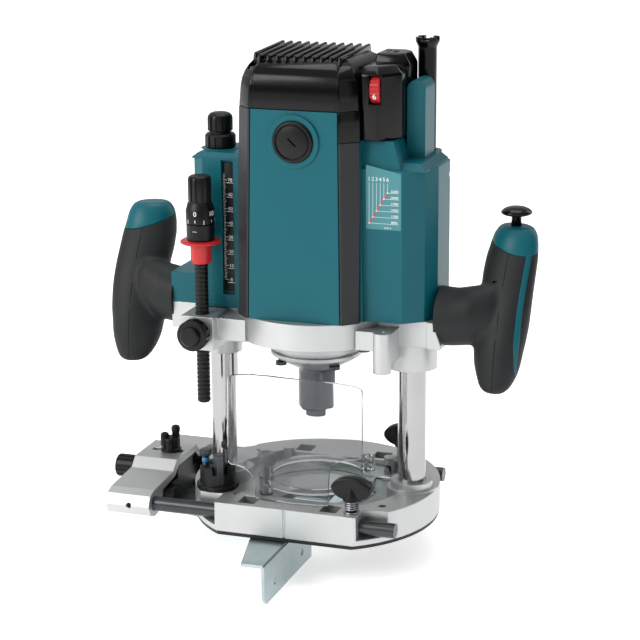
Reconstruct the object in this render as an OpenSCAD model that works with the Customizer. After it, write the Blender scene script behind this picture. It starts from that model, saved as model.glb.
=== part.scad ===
// Plunge router with a straight guide, built as separate pieces.
// Frame: origin on the spindle axis at the underside of the sole, +Z up,
// +X to the right-hand grip, -Y to the flat front edge of the base.
// The motor unit stands at the top of its plunge stroke.

/* [Base] */
// Radius of the round base
base_r = 85; // [83:0.5:88]
// Distance from the spindle axis to the flat front edge
base_front = 70; // [68:0.5:72]
// Height of the casting's upper face
base_top = 22.5; // [21.5:0.5:24]
// Thickness of the black sole
sole_t = 2.5; // [2:0.5:3]
// Radius of the opening for the cutter and template guides
opening_r = 31; // [29:0.5:32]

/* [Guide posts] */
// Distance of each post from the spindle axis
post_x = 68; // [67.5:0.5:69]
// Outer radius of a post
post_r = 9.5; // [9:0.1:9.8]
// Height of the posts' upper ends
post_top = 172; // [160:1:200]

/* [Motor unit] */
// Underside of the motor bracket
bracket_z = 128; // [126:0.5:130]
// Height where the housing stands on the bracket
housing_z = 146; // [145:0.5:147]
// Height where the housing ends under the top cover
housing_top = 286; // [284:0.5:288]
// Half width of the motor housing at its foot
housing_hw = 44; // [43:0.5:45]
// Half depth of the motor housing at its foot
housing_hd = 46.5; // [46:0.5:48]
// Height of the brush axis
brush_z = 266; // [264:0.5:268]

/* [Spindle] */
// Bore radius of the collet
collet_r = 6; // [3:0.05:6.35]
// Width across flats of the collet nut
nut_flats = 24; // [22:0.5:25]
// Lower end of the collet nut
nut_z = 74; // [73:0.5:78]

/* [Depth stop] */
// Radius of the stopper pole
pole_r = 4.5; // [4:0.1:4.6]
// Lower end of the pole as it is set
pole_tip = 83; // [75:1:100]
// Radius of the turret's flange
turret_r = 14.5; // [13.5:0.5:15]

/* [Straight guide] */
// Distance of each guide rod from the spindle axis
rod_y = 59; // [58.5:0.5:60]
// Height of the guide rods
rod_z = 12.5; // [12:0.5:13]
// Radius of a guide rod
rod_r = 5; // [4.5:0.1:5]
// Height of the fence below the sole
fence_h = 28; // [20:1:40]
// Face of the fence along X
fence_x = 2; // [0:0.5:4]
// Distance from the spindle axis to each end of the fence
fence_end = 113.5; // [100:0.5:130]

/* [Grips] */
// Half thickness of a grip across X
grip_r = 16; // [15:0.5:17]

/* [Hidden] */
$fn = 48;
gap = 0.05;
run_fit = 0.05;
free_gap = 0.3;
plate_gap = 0.1;
teal = "#2a7681";
gloss = "#16181a";
rubber = "#303336";
strip = "#3a3b40";
cast = "#c9cbcb";
steel = "#b9bcc0";
dark_steel = "#4a4d52";
zinc = "#9fb0b3";
clear = "#d8e2e4";
red = "#d0322f";
copper = "#b8703a";

taper = 0.935;
corner_cut = 12;
strip_x = housing_hw - corner_cut;
strip_y = -housing_hd + corner_cut;
cavity_r = 37;
shell_t = 3.2;
sleeve_z = 109;
post_hole_r = 12;
post_wall = 3;
seat_z = 5;
post_floor = 12;
height_rod_r = 4;
rod_hole_r = 4.1;
bearing_r = 21;
bearing_z = 120;
bearing_h = 14;
shaft_r = 10;
neck_r = 6;
pole_pos = [-67.5, -40];
turret_pos = [-58.9, -39.2];
stop_pitch = 8.7;
clamp_x = 44.3;
nozzle_z = 14;
nozzle_screw_pos = [-30.5, -19];
guard_pos = [69, 28];
lock_pos = [132, 25];
dial_pos = [50.5, -21, 299.5];
dial_r = 10.4;
lever_pos = [-60, 136.5];
lock_z = 138;
lock_pin_r = 3.2;
guide_x = -114;
guide_w = 32;
fine_z = 15.5;
hub_top = 290;

// ---- shared shapes ----

module along_x(x, y, z) { translate([x, y, z]) rotate([0, 90, 0]) children(); }
module along_y(x, y, z) { translate([x, y, z]) rotate([-90, 0, 0]) children(); }
module both_sides() {
    children();
    mirror([1, 0, 0]) children();
}
module front_and_back() {
    children();
    mirror([0, 1, 0]) children();
}
module box(lo, hi) { translate(lo) cube(hi - lo); }
module tube(outer, inner, h) {
    difference() {
        cylinder(r = outer, h = h);
        translate([0, 0, -1]) cylinder(r = inner, h = h + 2);
    }
}
// Round knob with grip grooves round its rim
module fluted(r, h, count, depth) {
    difference() {
        cylinder(r = r, h = h);
        for (i = [0 : count - 1])
            rotate([0, 0, i * 360 / count])
                translate([r + depth * 0.2, 0, -1]) cylinder(r = depth, h = h + 2, $fn = 16);
    }
}
// Pan-head screw standing along +Z, the head's top at z = 0
module screw_down(shank, head, head_h, length) {
    translate([0, 0, -head_h]) difference() {
        cylinder(r = head, h = head_h);
        translate([0, 0, head_h - 1.2]) cylinder(r = head * 0.45, h = 2, $fn = 6);
    }
    translate([0, 0, -length]) cylinder(r = shank, h = length - head_h);
}

// ---- base ----

module base_outline(r) {
    intersection() {
        circle(r = r, $fn = 96);
        translate([-r, -base_front]) square([2 * r, base_front + r]);
    }
}

module sole_points() {
    for (p = [[60, -42], [60, 42], [-60, 42], [-42, -48.5]]) translate([p[0], p[1], 0]) children();
}

module base_casting() {
    color(cast) difference() {
        union() {
            translate([0, 0, sole_t]) linear_extrude(base_top - sole_t) base_outline(base_r);
            for (s = [-1, 1]) translate([s * post_x, 0, sole_t]) {
                cylinder(r = 17, h = base_top - sole_t + 1.5);
                cylinder(r = 14.25, h = 28.7 - sole_t);
            }
            for (s = [-1, 1]) translate([s * 38, 47, sole_t]) cylinder(r = 4, h = 26 - sole_t);
        }
        // opening for the cutter
        translate([0, 0, -1]) cylinder(r = opening_r, h = 40);
        // well for the dust nozzle, kept clear of the post bosses
        difference() {
            translate([0, 0, nozzle_z]) intersection() {
                cylinder(r = 64, h = 30, $fn = 96);
                box([-64, -46, -1], [64, 48, 40]);
            }
            for (s = [-1, 1]) translate([s * post_x, 0, 0]) cylinder(r = 17, h = 40);
            for (s = [-1, 1]) translate([s * 38, 47, 0]) cylinder(r = 4, h = 40);
        }
        // corner notches where the front rod comes out, above the lower flange
        for (s = [-1, 1]) translate([s * 75, -77.5, sole_t + 3.5])
            translate([-25, -25, 0]) cube([50, 50, 40]);
        // rod bores
        for (s = [-1, 1]) along_x(-100, s * rod_y, rod_z) cylinder(r = rod_r + run_fit, h = 200);
        // windows in the front and rear bars
        for (sx = [-1, 1]) for (sy = [-1, 1])
            box([sx * 29 - 6, sy * 58 - 7, 9], [sx * 29 + 6, sy * 58 + 7, 40]);
        // clamp screws reach the rods
        for (s = [-1, 1]) translate([clamp_x, s * rod_y, rod_z]) cylinder(r = 3.2, h = 20);
        // post seats
        for (s = [-1, 1]) translate([s * post_x, 0, seat_z]) cylinder(r = post_r + gap, h = 40);
        translate([-post_x, 0, -1]) cylinder(r = rod_hole_r, h = 20);
        // turret pivot
        translate([turret_pos[0], turret_pos[1], 10]) cylinder(r = 3.05, h = 20);
        sole_points() translate([0, 0, -1]) cylinder(r = 2.6, h = 40);
        // sight groove in the middle of the front edge
        translate([0, -base_front, 0]) cylinder(r = 1, h = 40, $fn = 16);
    }
}

module sole_plate() {
    color(gloss) difference() {
        linear_extrude(sole_t - gap) base_outline(base_r - 0.5);
        translate([0, 0, -1]) cylinder(r = opening_r, h = 10);
        sole_points() {
            translate([0, 0, -1]) cylinder(r = 2.6, h = 10);
            translate([0, 0, -1]) cylinder(r = 4.6, h = 2.2);
        }
    }
}

module sole_screws() {
    color(steel) sole_points() difference() {
        union() {
            translate([0, 0, 0.2]) cylinder(r = 4.5, h = 1);
            translate([0, 0, 1.2]) cylinder(r = 2.5, h = 9);
        }
        translate([0, 0, -1]) cylinder(r = 1.6, h = 1.8, $fn = 6);
    }
}

// Hollow post standing in its seat
module post() {
    difference() {
        translate([0, 0, seat_z]) cylinder(r = post_r, h = post_top - seat_z);
        translate([0, 0, post_floor]) cylinder(r = post_r - post_wall, h = post_top);
    }
}
module post_left() {
    color(steel) translate([-post_x, 0, 0]) difference() {
        post();
        cylinder(r = rod_hole_r, h = 20);
    }
}
module post_right() { color(steel) translate([post_x, 0, 0]) post(); }

// One ring of points round the section of a coiled wire
function coil_ring(a, z, r, w, n) =
    [for (k = [0 : n - 1]) let (t = 360 * k / n)
        [(r + w * cos(t)) * cos(a), (r + w * cos(t)) * sin(a), z + w * sin(t)]];
// Coil spring swept round its axis
module coil(r, w, z0, z1, turns, steps = 12, n = 6) {
    count = turns * steps;
    pts = [for (i = [0 : count])
        each coil_ring(i * 360 / steps, z0 + w + (z1 - z0 - 2 * w) * i / count, r, w, n)];
    sides = [for (i = [0 : count - 1]) for (k = [0 : n - 1])
        [i * n + k, i * n + (k + 1) % n, (i + 1) * n + (k + 1) % n, (i + 1) * n + k]];
    ends = [[for (k = [n - 1 : -1 : 0]) k], [for (k = [0 : n - 1]) count * n + k]];
    polyhedron(points = pts, faces = concat(sides, ends));
}

module plunge_spring() {
    color(dark_steel) translate([post_x, 0, 0]) coil(5.2, 0.9, 12.2, 242.8, 24);
}

module height_screw() {
    color(dark_steel) translate([-post_x, 0, 3]) cylinder(r = height_rod_r, h = 267);
}

module height_knob() {
    color(gloss) translate([-post_x, 0, 0]) difference() {
        union() {
            translate([0, 0, 251.3]) fluted(10.4, 9.7, 12, 1.4);
            translate([0, 0, 261]) cylinder(r = 7.4, h = 1.5);
            translate([0, 0, 262.5]) fluted(8.5, 11, 12, 1.2);
            translate([0, 0, 273.5]) cylinder(r1 = 8, r2 = 6.5, h = 1.5);
        }
        translate([0, 0, 240]) cylinder(r = height_rod_r + run_fit, h = 31);
    }
}

module dust_nozzle() {
    wall = 2;
    color(clear, 0.4) difference() {
        union() {
            translate([0, 0, nozzle_z]) cylinder(r = 41, h = 11);
            // duct to the rear right
            translate([0, 0, nozzle_z]) linear_extrude(11)
                polygon([[10, 38], [44, 30], [50, 12], [38, 4]]);
            // screw post
            for (s = [-1, 1]) translate([s * nozzle_screw_pos[0], nozzle_screw_pos[1] * s, nozzle_z])
                cylinder(r = 5, h = 21);
        }
        translate([0, 0, nozzle_z - 1]) cylinder(r = opening_r + 0.5, h = 40);
        // chamber under the ring
        translate([0, 0, nozzle_z - 1]) difference() {
            cylinder(r = 41 - wall, h = 10);
            for (s = [-1, 1]) translate([s * nozzle_screw_pos[0], nozzle_screw_pos[1] * s, -1])
                cylinder(r = 5, h = 40);
        }
        translate([0, 0, nozzle_z - 1]) linear_extrude(10)
            polygon([[12, 34], [42.5, 28.2], [49, 14], [52, 8], [38, 6.5]]);
        for (s = [-1, 1]) translate([s * nozzle_screw_pos[0], nozzle_screw_pos[1] * s, nozzle_z - 1])
            cylinder(r = 2.1, h = 40);
    }
}

module nozzle_screw() {
    color("#7d7f84") translate([nozzle_screw_pos[0], nozzle_screw_pos[1], 0]) {
        translate([0, 0, 35.2]) fluted(6.6, 7.8, 10, 0.9);
        translate([0, 0, nozzle_z + 0.5]) cylinder(r = 2, h = 35.2 - nozzle_z - 0.5);
    }
}

// Clear screen, bent round an upright axis behind it
module chip_deflector() {
    bend_r = 100;
    plate = 2;
    color(clear, 0.35) intersection() {
        translate([0, bend_r - 60, 0]) difference() {
            cylinder(r = bend_r, h = 120, $fn = 160);
            translate([0, 0, -1]) cylinder(r = bend_r - plate, h = 122, $fn = 160);
        }
        along_y(0, -80, 0) linear_extrude(50) mirror([0, 1]) union() {
            translate([-47.5, 58]) square([95, 44]);
            translate([-47.5, 48]) square([20, 12]);
            translate([-27, base_top + plate_gap]) square([54, 50]);
            translate([-42.5, 48]) circle(r = 5);
            translate([-42.5, 43]) square([20, 10]);
            translate([42.5, 58]) circle(r = 5);
        }
    }
}

module stopper_turret() {
    color(gloss) translate([turret_pos[0], turret_pos[1], base_top + 0.2]) {
        difference() {
            union() {
                cylinder(r = turret_r, h = 3.5);
                translate([0, 0, 3.5]) cylinder(r = 12.2, h = 12.5);
                translate([0, 0, -12]) cylinder(r = 3, h = 13);
            }
            for (i = [0 : 2]) rotate([0, 0, 180 + i * 120]) translate([stop_pitch, 0, 3.5])
                cylinder(r = 2.5 + gap, h = 20);
            // deep step on one side
            rotate([0, 0, 60]) translate([8, -15, 9]) cube([10, 30, 10]);
        }
    }
}

module turret_screws() {
    color(dark_steel) translate([turret_pos[0], turret_pos[1], base_top + 0.2]) {
        for (i = [0 : 2]) rotate([0, 0, 180 + i * 120]) translate([stop_pitch, 0, 3.6]) {
            cylinder(r = 2.5, h = 18 + (i == 2 ? 4.5 : 0));
            translate([0, 0, 18 + (i == 2 ? 4.5 : 0)]) cylinder(r = 4.2, h = 4.3, $fn = 6);
        }
    }
}

// Oval thumb knob that clamps a guide rod
module clamp_knob() {
    translate([0, 0, rod_z + rod_r + free_gap]) cylinder(r = 3, h = 14);
    translate([0, 0, 31]) cylinder(r1 = 6.2, r2 = 3.6, h = 9);
    intersection() {
        translate([0, 0, 39]) rotate([90, 0, 0]) scale([1.75, 1, 1]) cylinder(r = 8, h = 9, center = true);
        translate([0, 0, 31]) cylinder(r = 14, h = 16);
    }
}
module clamp_knob_front() { color(gloss) translate([clamp_x, -rod_y, 0]) clamp_knob(); }
module clamp_knob_rear() { color(gloss) translate([clamp_x, rod_y, 0]) clamp_knob(); }

module clamp_springs() {
    color(steel) for (s = [-1, 1]) translate([clamp_x, s * rod_y, base_top + gap]) {
        tube(5.6, 3.6, 0.9);
        for (i = [0 : 4]) translate([0, 0, 1.4 + i * 1.45]) tube(5, 3.8, 0.9);
    }
}

// ---- motor unit: castings and casings ----

module sleeve_bores() {
    for (s = [-1, 1]) translate([s * post_x, 0, 50]) cylinder(r = 11, h = 120);
}

// Shelf in front of the right grip's arm, sloping out towards its lower edge
module right_shelf(extra) {
    hull() {
        box([84, -22 - extra, 128 - extra], [93.5 + extra, 17 + extra, 131]);
        box([84, -22 - extra, housing_z - 1], [88 + extra, 17 + extra, housing_z + extra]);
    }
}
module motor_bracket() {
    color(cast) difference() {
        union() {
            // bowed middle under the motor
            intersection() {
                translate([0, 0, bracket_z]) cylinder(r = 54, h = housing_z - bracket_z, $fn = 96);
                box([-50, -60, 100], [50, 60, 160]);
            }
            box([-86, -20, bracket_z], [86, 20, housing_z]);
            translate([post_x, 0, sleeve_z]) cylinder(r = 17, h = housing_z - sleeve_z);
            translate([-post_x, 0, sleeve_z]) cylinder(r = 12.8, h = housing_z - sleeve_z);
            translate([-post_x, 0, 118]) cylinder(r = 17, h = housing_z - 118);
            // pillar in front of the right sleeve
            translate([59, -40, 114.6]) cylinder(r = 6, h = 27.4);
            box([53.2, -40, 120], [64.8, -10, 141]);
            box([40, -38, bracket_z], [60, -20, 141]);
            // lug of the stopper pole
            box([-79, -50, 122], [-56, -15, 145]);
            box([-57, -42, bracket_z], [-36, -15, 143]);
            // shelf under the left grip's arm
            box([-98, -20, bracket_z], [-84, 18, housing_z]);
            right_shelf(0);
        }
        sleeve_bores();
        translate([0, 0, 100]) cylinder(r = bearing_r + gap, h = bearing_z + bearing_h - 100);
        translate([0, 0, 100]) cylinder(r = 16, h = 60);
        // seat of the bearing retainer
        translate([0, 0, 100]) cylinder(r = 33.6, h = bracket_z - 100 + 1);
        // air slots round the hub
        for (i = [0 : 7]) rotate([0, 0, 22.5 + i * 45]) translate([37, -5, 120]) cube([9, 10, 40]);
        translate([pole_pos[0], pole_pos[1], 100]) cylinder(r = pole_r + free_gap, h = 60);
        along_y(-67, -60, 134.5) cylinder(r = 3.3, h = 17);
        translate([59, -40, 130]) cylinder(r = 2.2, h = 20);
        // shaft lock pin and plunge lock screw
        along_y(0, 10, lock_z) cylinder(r = lock_pin_r + run_fit, h = 60);
        along_y(lever_pos[0], 12, lever_pos[1]) cylinder(r = 3 + run_fit, h = 20);
    }
}

module post_bushes() {
    color(copper) for (s = [-1, 1]) translate([s * post_x, 0, sleeve_z + 1])
        tube(11 - gap, post_r + run_fit, 30);
}

module bearing_retainer() {
    color(cast) difference() {
        rotate_extrude($fn = 96) polygon([[11.5, 104], [15, 104], [27, 110.5], [31.5, 113.5], [31.5, 116],
            [29.5, 116.5], [29.5, 118], [33.4, 119], [33.4, 128.9], [11.5, 128.9]]);
        translate([0, 0, bearing_z]) cylinder(r = bearing_r + gap, h = 20);
        for (i = [0 : 3]) rotate([0, 0, 45 + i * 90]) translate([27, 0, 100]) {
            cylinder(r = 2.1, h = 40);
            cylinder(r = 4, h = 10.15);
        }
    }
}

module bracket_screws() {
    color(dark_steel) {
        for (i = [0 : 3]) rotate([0, 0, 45 + i * 90]) translate([27, 0, 110.2]) {
            cylinder(r = 2, h = 18);
            translate([0, 0, -2.5]) cylinder(r = 3.8, h = 2.4);
        }
        for (p = [[43, -28], [-43, -28], [43, 28], [-43, 28]]) translate([p[0], p[1], bracket_z - 3.2])
            difference() {
                cylinder(r = 4, h = 3.1);
                translate([0, 0, -1]) cylinder(r = 2, h = 2.5, $fn = 6);
            }
    }
}

// Rectangle with its four corners cut off
module cut_corners(hw, hd, c) {
    polygon([[-hw + c, -hd], [hw - c, -hd], [hw, -hd + c], [hw, hd - c],
             [hw - c, hd], [-hw + c, hd], [-hw, hd - c], [-hw, -hd + c]]);
}
// Motor room outline with a rebate at each corner for the trim strips
module housing_plan() {
    difference() {
        cut_corners(housing_hw, housing_hd, corner_cut);
        both_sides() front_and_back() polygon([[strip_x - 0.5, -housing_hd - 1], [strip_x, -housing_hd + 2.7],
            [housing_hw - 2.5, strip_y], [housing_hw + 1, strip_y], [housing_hw + 1, -housing_hd - 1]]);
    }
}
module right_plan() {
    polygon([[38, -30], [69.5, -30], [82, -20], [87.5, -8], [87.5, 20], [78, 30], [38, 30]]);
}
module left_plan() {
    polygon([[-38, -24], [-72, -24], [-80, -18], [-82, -8], [-82, 18], [-74, 26], [-38, 26]]);
}

module motor_housing() {
    color(teal) difference() {
        union() {
            translate([0, 0, housing_z]) linear_extrude(housing_top - housing_z, scale = taper)
                housing_plan();
            translate([0, 0, housing_z]) linear_extrude(248 - housing_z) right_plan();
            translate([0, 0, housing_z]) linear_extrude(248 - housing_z) left_plan();
            // shoulders above the columns
            hull() {
                box([38, -28, 247], [68, 28, 248]);
                box([38, -25, 265.9], [62, 25, 266]);
            }
            hull() {
                box([38, -27, 247], [84, 27, 248]);
                box([38, -22, 251.9], [80, 24, 252]);
            }
            hull() {
                box([-80, -22, 247], [-38, 24, 248]);
                box([-76, -18, 250.9], [-38, 20, 251]);
            }
            // upright fin beside the cord guard
            box([64.5, -4, 250], [77, 18, 297]);
            along_y(70.75, -4, 297) cylinder(r = 6.25, h = 22);
            // socket of the cord guard
            translate([guard_pos[0], guard_pos[1], 205]) cylinder(r = 10, h = 47);
            // shelf of the left grip's arm
            box([-98, -20, housing_z], [-80, 18, 167]);
            // ring round each brush cap
            along_y(0, -45.2, brush_z) cylinder(r = 17.5, h = 90.4);
        }
        // motor room, with four ribs that hold the stator
        translate([0, 0, housing_z - 1]) cylinder(r = cavity_r, h = 276 - housing_z + 1);
        difference() {
            translate([0, 0, housing_z - 1]) linear_extrude(277 - housing_z) offset(delta = -shell_t)
                scale(taper) cut_corners(housing_hw, housing_hd, corner_cut);
            for (a = [0 : 3]) rotate([0, 0, 45 + a * 90]) box([30, -3, 140], [60, 3, 290]);
        }
        // column rooms round the post tubes
        translate([0, 0, housing_z - 1]) difference() {
            union() {
                linear_extrude(244 - housing_z) offset(delta = -shell_t) right_plan();
                linear_extrude(244 - housing_z) offset(delta = -shell_t) left_plan();
            }
            for (s = [-1, 1]) translate([s * post_x, 0, -1]) cylinder(r = post_hole_r + 2, h = 110);
            box([-62, -30, -5], [-46, -12, 120]);
            translate([guard_pos[0], guard_pos[1], 0]) cylinder(r = 10, h = 120);
        }
        translate([0, 0, 260]) cylinder(r = 13 + gap, h = 24);
        translate([0, 0, 260]) cylinder(r = 9, h = 60);
        for (i = [0 : 7]) rotate([0, 0, i * 45]) translate([18, -3, 270]) cube([12, 6, 30]);
        // post rooms
        for (s = [-1, 1]) translate([s * post_x, 0, housing_z - 1]) cylinder(r = post_hole_r, h = 98);
        translate([-post_x, 0, 240]) cylinder(r = 4.5, h = 20);
        // brush holes
        front_and_back() along_y(0, -60, brush_z) cylinder(r = 13.9, h = 30);
        // scale recess
        box([-58.5, -40, 155], [-50, -20.8, 247]);
        // cord guard socket
        translate([guard_pos[0], guard_pos[1], 225]) cylinder(r = 6.3, h = 40);
        translate([guard_pos[0], guard_pos[1], 215]) cylinder(r = 4, h = 40);
        along_x(75, 21, 238) cylinder(r = 2.5, h = 30);
    }
}

// Strip in the corner rebate
module trim_profile() {
    x = strip_x + 0.3;
    y = strip_y - 0.3;
    polygon([[x, -housing_hd + 0.2], [x + 1.3, -housing_hd + 0.2], [housing_hw, y - 1.1], [housing_hw, y],
             [housing_hw - 2.3, y], [x, -housing_hd + 2.6]]);
}
module corner_trims() {
    color(strip) {
        // the right-hand strips end lower, where the gloss cover comes down
        for (sx = [0, 1]) mirror([sx, 0, 0]) front_and_back() difference() {
            translate([0, 0, housing_z]) linear_extrude(housing_top - housing_z, scale = taper)
                trim_profile();
            box([20, -60, sx == 0 ? 266 : 290], [60, 0, 300]);
            // clear of the column beside it
            box([42.2, -60, 140], [60, -20, 250]);
        }
    }
}

module cover_shell(inset) {
    hull() {
        translate([0, 0, housing_top + gap]) linear_extrude(0.1) offset(delta = -inset) cover_outline();
        translate([0, 0, 307 - inset]) linear_extrude(0.1) offset(delta = -inset) scale([0.96, 0.96])
            cover_outline();
        translate([0, 0, 318.2 - inset]) linear_extrude(0.1) offset(delta = -inset)
            polygon([[-31, -33], [29, -33], [33, -28], [33, 28], [29, 33], [-31, 33], [-35, 28], [-35, -28]]);
    }
}
module cover_outline() { cut_corners(housing_hw * taper, housing_hd * taper, 9.8); }
module cover_points() {
    for (p = [[-29, -33], [29, 33]]) translate([p[0], p[1], 0]) children();
}
module top_cover() {
    pitch = 6.1;
    color(gloss) difference() {
        union() {
            difference() {
                cover_shell(0);
                cover_shell(3);
                box([-25, -25, housing_top - 1], [25, 25, housing_top + 3]);
            }
            // ribs of the air grille
            for (i = [0 : 10]) box([-35 + i * pitch, -32, 315.5], [-31.7 + i * pitch, 32, 321]);
        }
        // air slots between the ribs
        for (i = [0 : 9]) box([-31.7 + i * pitch, -27, 300], [-28.9 + i * pitch, 27, 330]);
        cover_points() {
            translate([0, 0, 309]) cylinder(r = 4.2, h = 20);
            translate([0, 0, 300]) cylinder(r = 2.1, h = 20);
        }
    }
}

module cover_screws() {
    color(dark_steel) cover_points() translate([0, 0, 312]) screw_down(2, 3.9, 2.9, 14);
}

module dial_cover() {
    color(gloss) difference() {
        union() {
            hull() {
                box([41.6, -30.5, 266.1], [53, 0, 303]);
                box([41.6, -15, 266.1], [64.5, 0, 300]);
                box([41.6, -25, 303], [54, 0, 313]);
            }
            hull() {
                box([41.6, -1, 266.1], [59, 28, 319]);
                box([41.6, -1, 266.1], [64, 24, 312]);
            }
        }
        hull() {
            box([43.6, -20, 260], [58, -1, 302]);
            box([43.6, -1, 260], [60, 22, 309]);
        }
        // window of the speed dial and the room it turns in
        box(dial_pos - [3.7, 22, 8.5], dial_pos + [3.7, 0, 8.5]);
        along_x(dial_pos[0] - 3.7, dial_pos[1], dial_pos[2]) cylinder(r = dial_r + 0.4, h = 7.4);
    }
}

module speed_dial() {
    color(red) along_x(dial_pos[0] - 3.2, dial_pos[1], dial_pos[2]) difference() {
        fluted(dial_r, 6.4, 24, 0.7);
        translate([0, 0, -1]) cylinder(r = 2, h = 20);
    }
}

module scale_plate() { color(gloss) box([-58.3, -22, 157], [-50.2, -20.9, 245]); }

module brush_caps() {
    color(gloss) front_and_back() difference() {
        along_y(0, -47, brush_z) cylinder(r = 13.7, h = 6);
        along_y(0, -50, brush_z) tube(11, 10, 3.5);
        translate([0, -47, brush_z]) rotate([0, 45, 0]) cube([7, 3, 1.6], center = true);
    }
}

module brush_holders() {
    color(copper) front_and_back() difference() {
        box([-6.6, -40.5, brush_z - 8.2], [6.6, -17, brush_z + 8.2]);
        box([-5.1, -45, brush_z - 6.7], [5.1, -10, brush_z + 6.7]);
    }
}

module carbon_brushes() {
    color(dark_steel) front_and_back() difference() {
        box([-5, -32, brush_z - 6.6], [5, -10, brush_z + 6.6]);
        translate([0, 0, brush_z - 20]) cylinder(r = 13.3, h = 40);
    }
}

// Shielded ball bearing: two rings and the shields that close the ball track
module ball_bearing(outer, inner, h) {
    track = (outer - inner) * 0.28;
    shield = 0.6;
    tube(outer, outer - track, h);
    tube(inner + track, inner, h);
    for (z = [0.6, h - 0.6 - shield]) translate([0, 0, z])
        tube(outer - track - gap, inner + track + gap, shield);
}
module lower_bearing() {
    color(steel) translate([0, 0, bearing_z + gap])
        ball_bearing(bearing_r, shaft_r + run_fit, bearing_h - 2 * gap);
}
module upper_bearing() {
    color(steel) translate([0, 0, 276.2]) ball_bearing(13, 5 + run_fit, 7.7);
}

module stator_core() {
    color(dark_steel) difference() {
        translate([0, 0, 190]) cylinder(r = cavity_r - gap, h = 52);
        translate([0, 0, 180]) cylinder(r = 21, h = 80);
        for (s = [-1, 1]) box([s * 27 - 4, -18, 180], [s * 27 + 4, 18, 250]);
    }
}

module field_coils() {
    color(copper) for (s = [-1, 1]) intersection() {
        difference() {
            translate([0, 0, 181]) cylinder(r = 34, h = 70);
            translate([0, 0, 170]) cylinder(r = 23.5, h = 100);
        }
        difference() {
            box([s * 27 - 3.8, -17.8, 181], [s * 27 + 3.8, 17.8, 251]);
            box([s * 27 - 10, -11, 189.9], [s * 27 + 10, 11, 242.1]);
        }
    }
}

module controller_board() {
    color("#2e6b3c") {
        box([50, 1, 269], [51.6, 20, 302]);
        box([51.6, 4, 272], [57, 12, 284]);
        box([51.6, 5, 288], [56, 9, 298]);
    }
}

module cord_guard() {
    color(gloss) translate([guard_pos[0], guard_pos[1], 0]) difference() {
        union() {
            translate([0, 0, 225.1]) cylinder(r = 6.2, h = 101);
            translate([0, 0, 321]) cylinder(r1 = 6.4, r2 = 8, h = 3.5);
            translate([0, 0, 324.5]) cylinder(r = 8, h = 3);
        }
        translate([0, 0, 200]) cylinder(r = 4, h = 160);
        translate([0, 0, 327.5]) for (a = [0, 90]) rotate([0, 0, a]) cube([30, 6, 4], center = true);
    }
}

// ---- grips ----

module blob(p, s) { translate(p) rotate([0, 0, -30]) scale([1.15 * s, 0.9 * s, s]) sphere(r = grip_r, $fn = 28); }
// Right-hand grip: a bowed body that leans back towards its top
module grip_body() {
    hull() {
        blob([129.5, -15.5, 117.5], 0.93);
        blob([130.5, -6, 139], 1.02);
    }
    hull() {
        blob([130.5, -6, 139], 1.02);
        blob([131, 9, 170], 1.04);
        blob([131.8, 21.5, 188.5], 0.98);
    }
}
module grip_arm() {
    hull() {
        box([88.3, -21, 134], [89, 15, 160]);
        box([88.3, -17, 128], [89, 11, 166]);
        translate([118, -3, 149]) rotate([0, 90, 0]) cylinder(r = 19, h = 1, $fn = 28);
    }
}
module above_grip() {
    translate([132, 25, 205]) translate([-40, -40, 0]) cube([80, 80, 40]);
}
module cap_split() {
    translate([132, 10, 195.5]) rotate([12, 13, 0]) translate([-40, -40, 0]) cube([80, 80, 40]);
}
module grip_cut() {
    difference() {
        union() {
            grip_body();
            grip_arm();
        }
        cap_split();
    }
}

module right_grip() {
    color(rubber) difference() {
        grip_cut();
        right_shelf(free_gap);
        box([123.5, -4, 146], [138.5, 60, 173]);
        box([123.5, 7.6, 146], [138.5, 60, 184]);
        translate([lock_pos[0], lock_pos[1], 186]) cylinder(r = 3.8, h = 60);
    }
}
module left_grip() {
    color(rubber) mirror([1, 0, 0]) translate([-1.5, 0, 0]) difference() {
        grip_cut();
        box([80, -40, 100], [99.8, 40, 200]);
    }
}
module grip_caps() {
    color(teal) both_sides() difference() {
        intersection() {
            grip_body();
            translate([0, 0, plate_gap]) cap_split();
        }
        above_grip();
        translate([lock_pos[0], lock_pos[1], 180]) cylinder(r = 3.8, h = 60);
    }
}

module lock_button() {
    color(gloss) translate([lock_pos[0], lock_pos[1], 0]) {
        translate([0, 0, 191]) cylinder(r = 3.5, h = 22);
        translate([0, 0, 212.5]) cylinder(r1 = 9, r2 = 10.5, h = 1.6);
        translate([0, 0, 214.1]) cylinder(r1 = 10.5, r2 = 7.5, h = 2.6);
        translate([0, 0, 216.7]) cylinder(r1 = 7.5, r2 = 3, h = 1.3);
    }
}

module switch_trigger() {
    color(gloss) intersection() {
        box([124.2, 14, 147], [137.8, 60, 183]);
        hull() {
            translate([131, 0, 152]) rotate([0, 90, 0]) cylinder(r = 20, h = 14, center = true);
            translate([131, 14, 177]) rotate([0, 90, 0]) cylinder(r = 20, h = 14, center = true);
        }
    }
}

module switch_body() { color(dark_steel) box([124.5, -3, 148], [137.5, 7, 172]); }

module plunge_lock_lever() {
    color(gloss) {
        along_y(lever_pos[0], 12.5, lever_pos[1]) cylinder(r = 3, h = 9);
        along_y(lever_pos[0], 20.3, lever_pos[1]) cylinder(r = 6.5, h = 12.7);
        hull() {
            along_y(lever_pos[0], 27, lever_pos[1]) cylinder(r = 6.5, h = 6);
            along_y(lever_pos[0] - 33, 31, lever_pos[1] + 9) cylinder(r = 5, h = 6);
        }
    }
}

module shaft_lock() {
    color(gloss) {
        along_y(0, 58.2, lock_z) cylinder(r = 6, h = 3);
        along_y(0, 17.5, lock_z) cylinder(r = lock_pin_r, h = 41);
    }
}

// ---- depth stop ----

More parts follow.
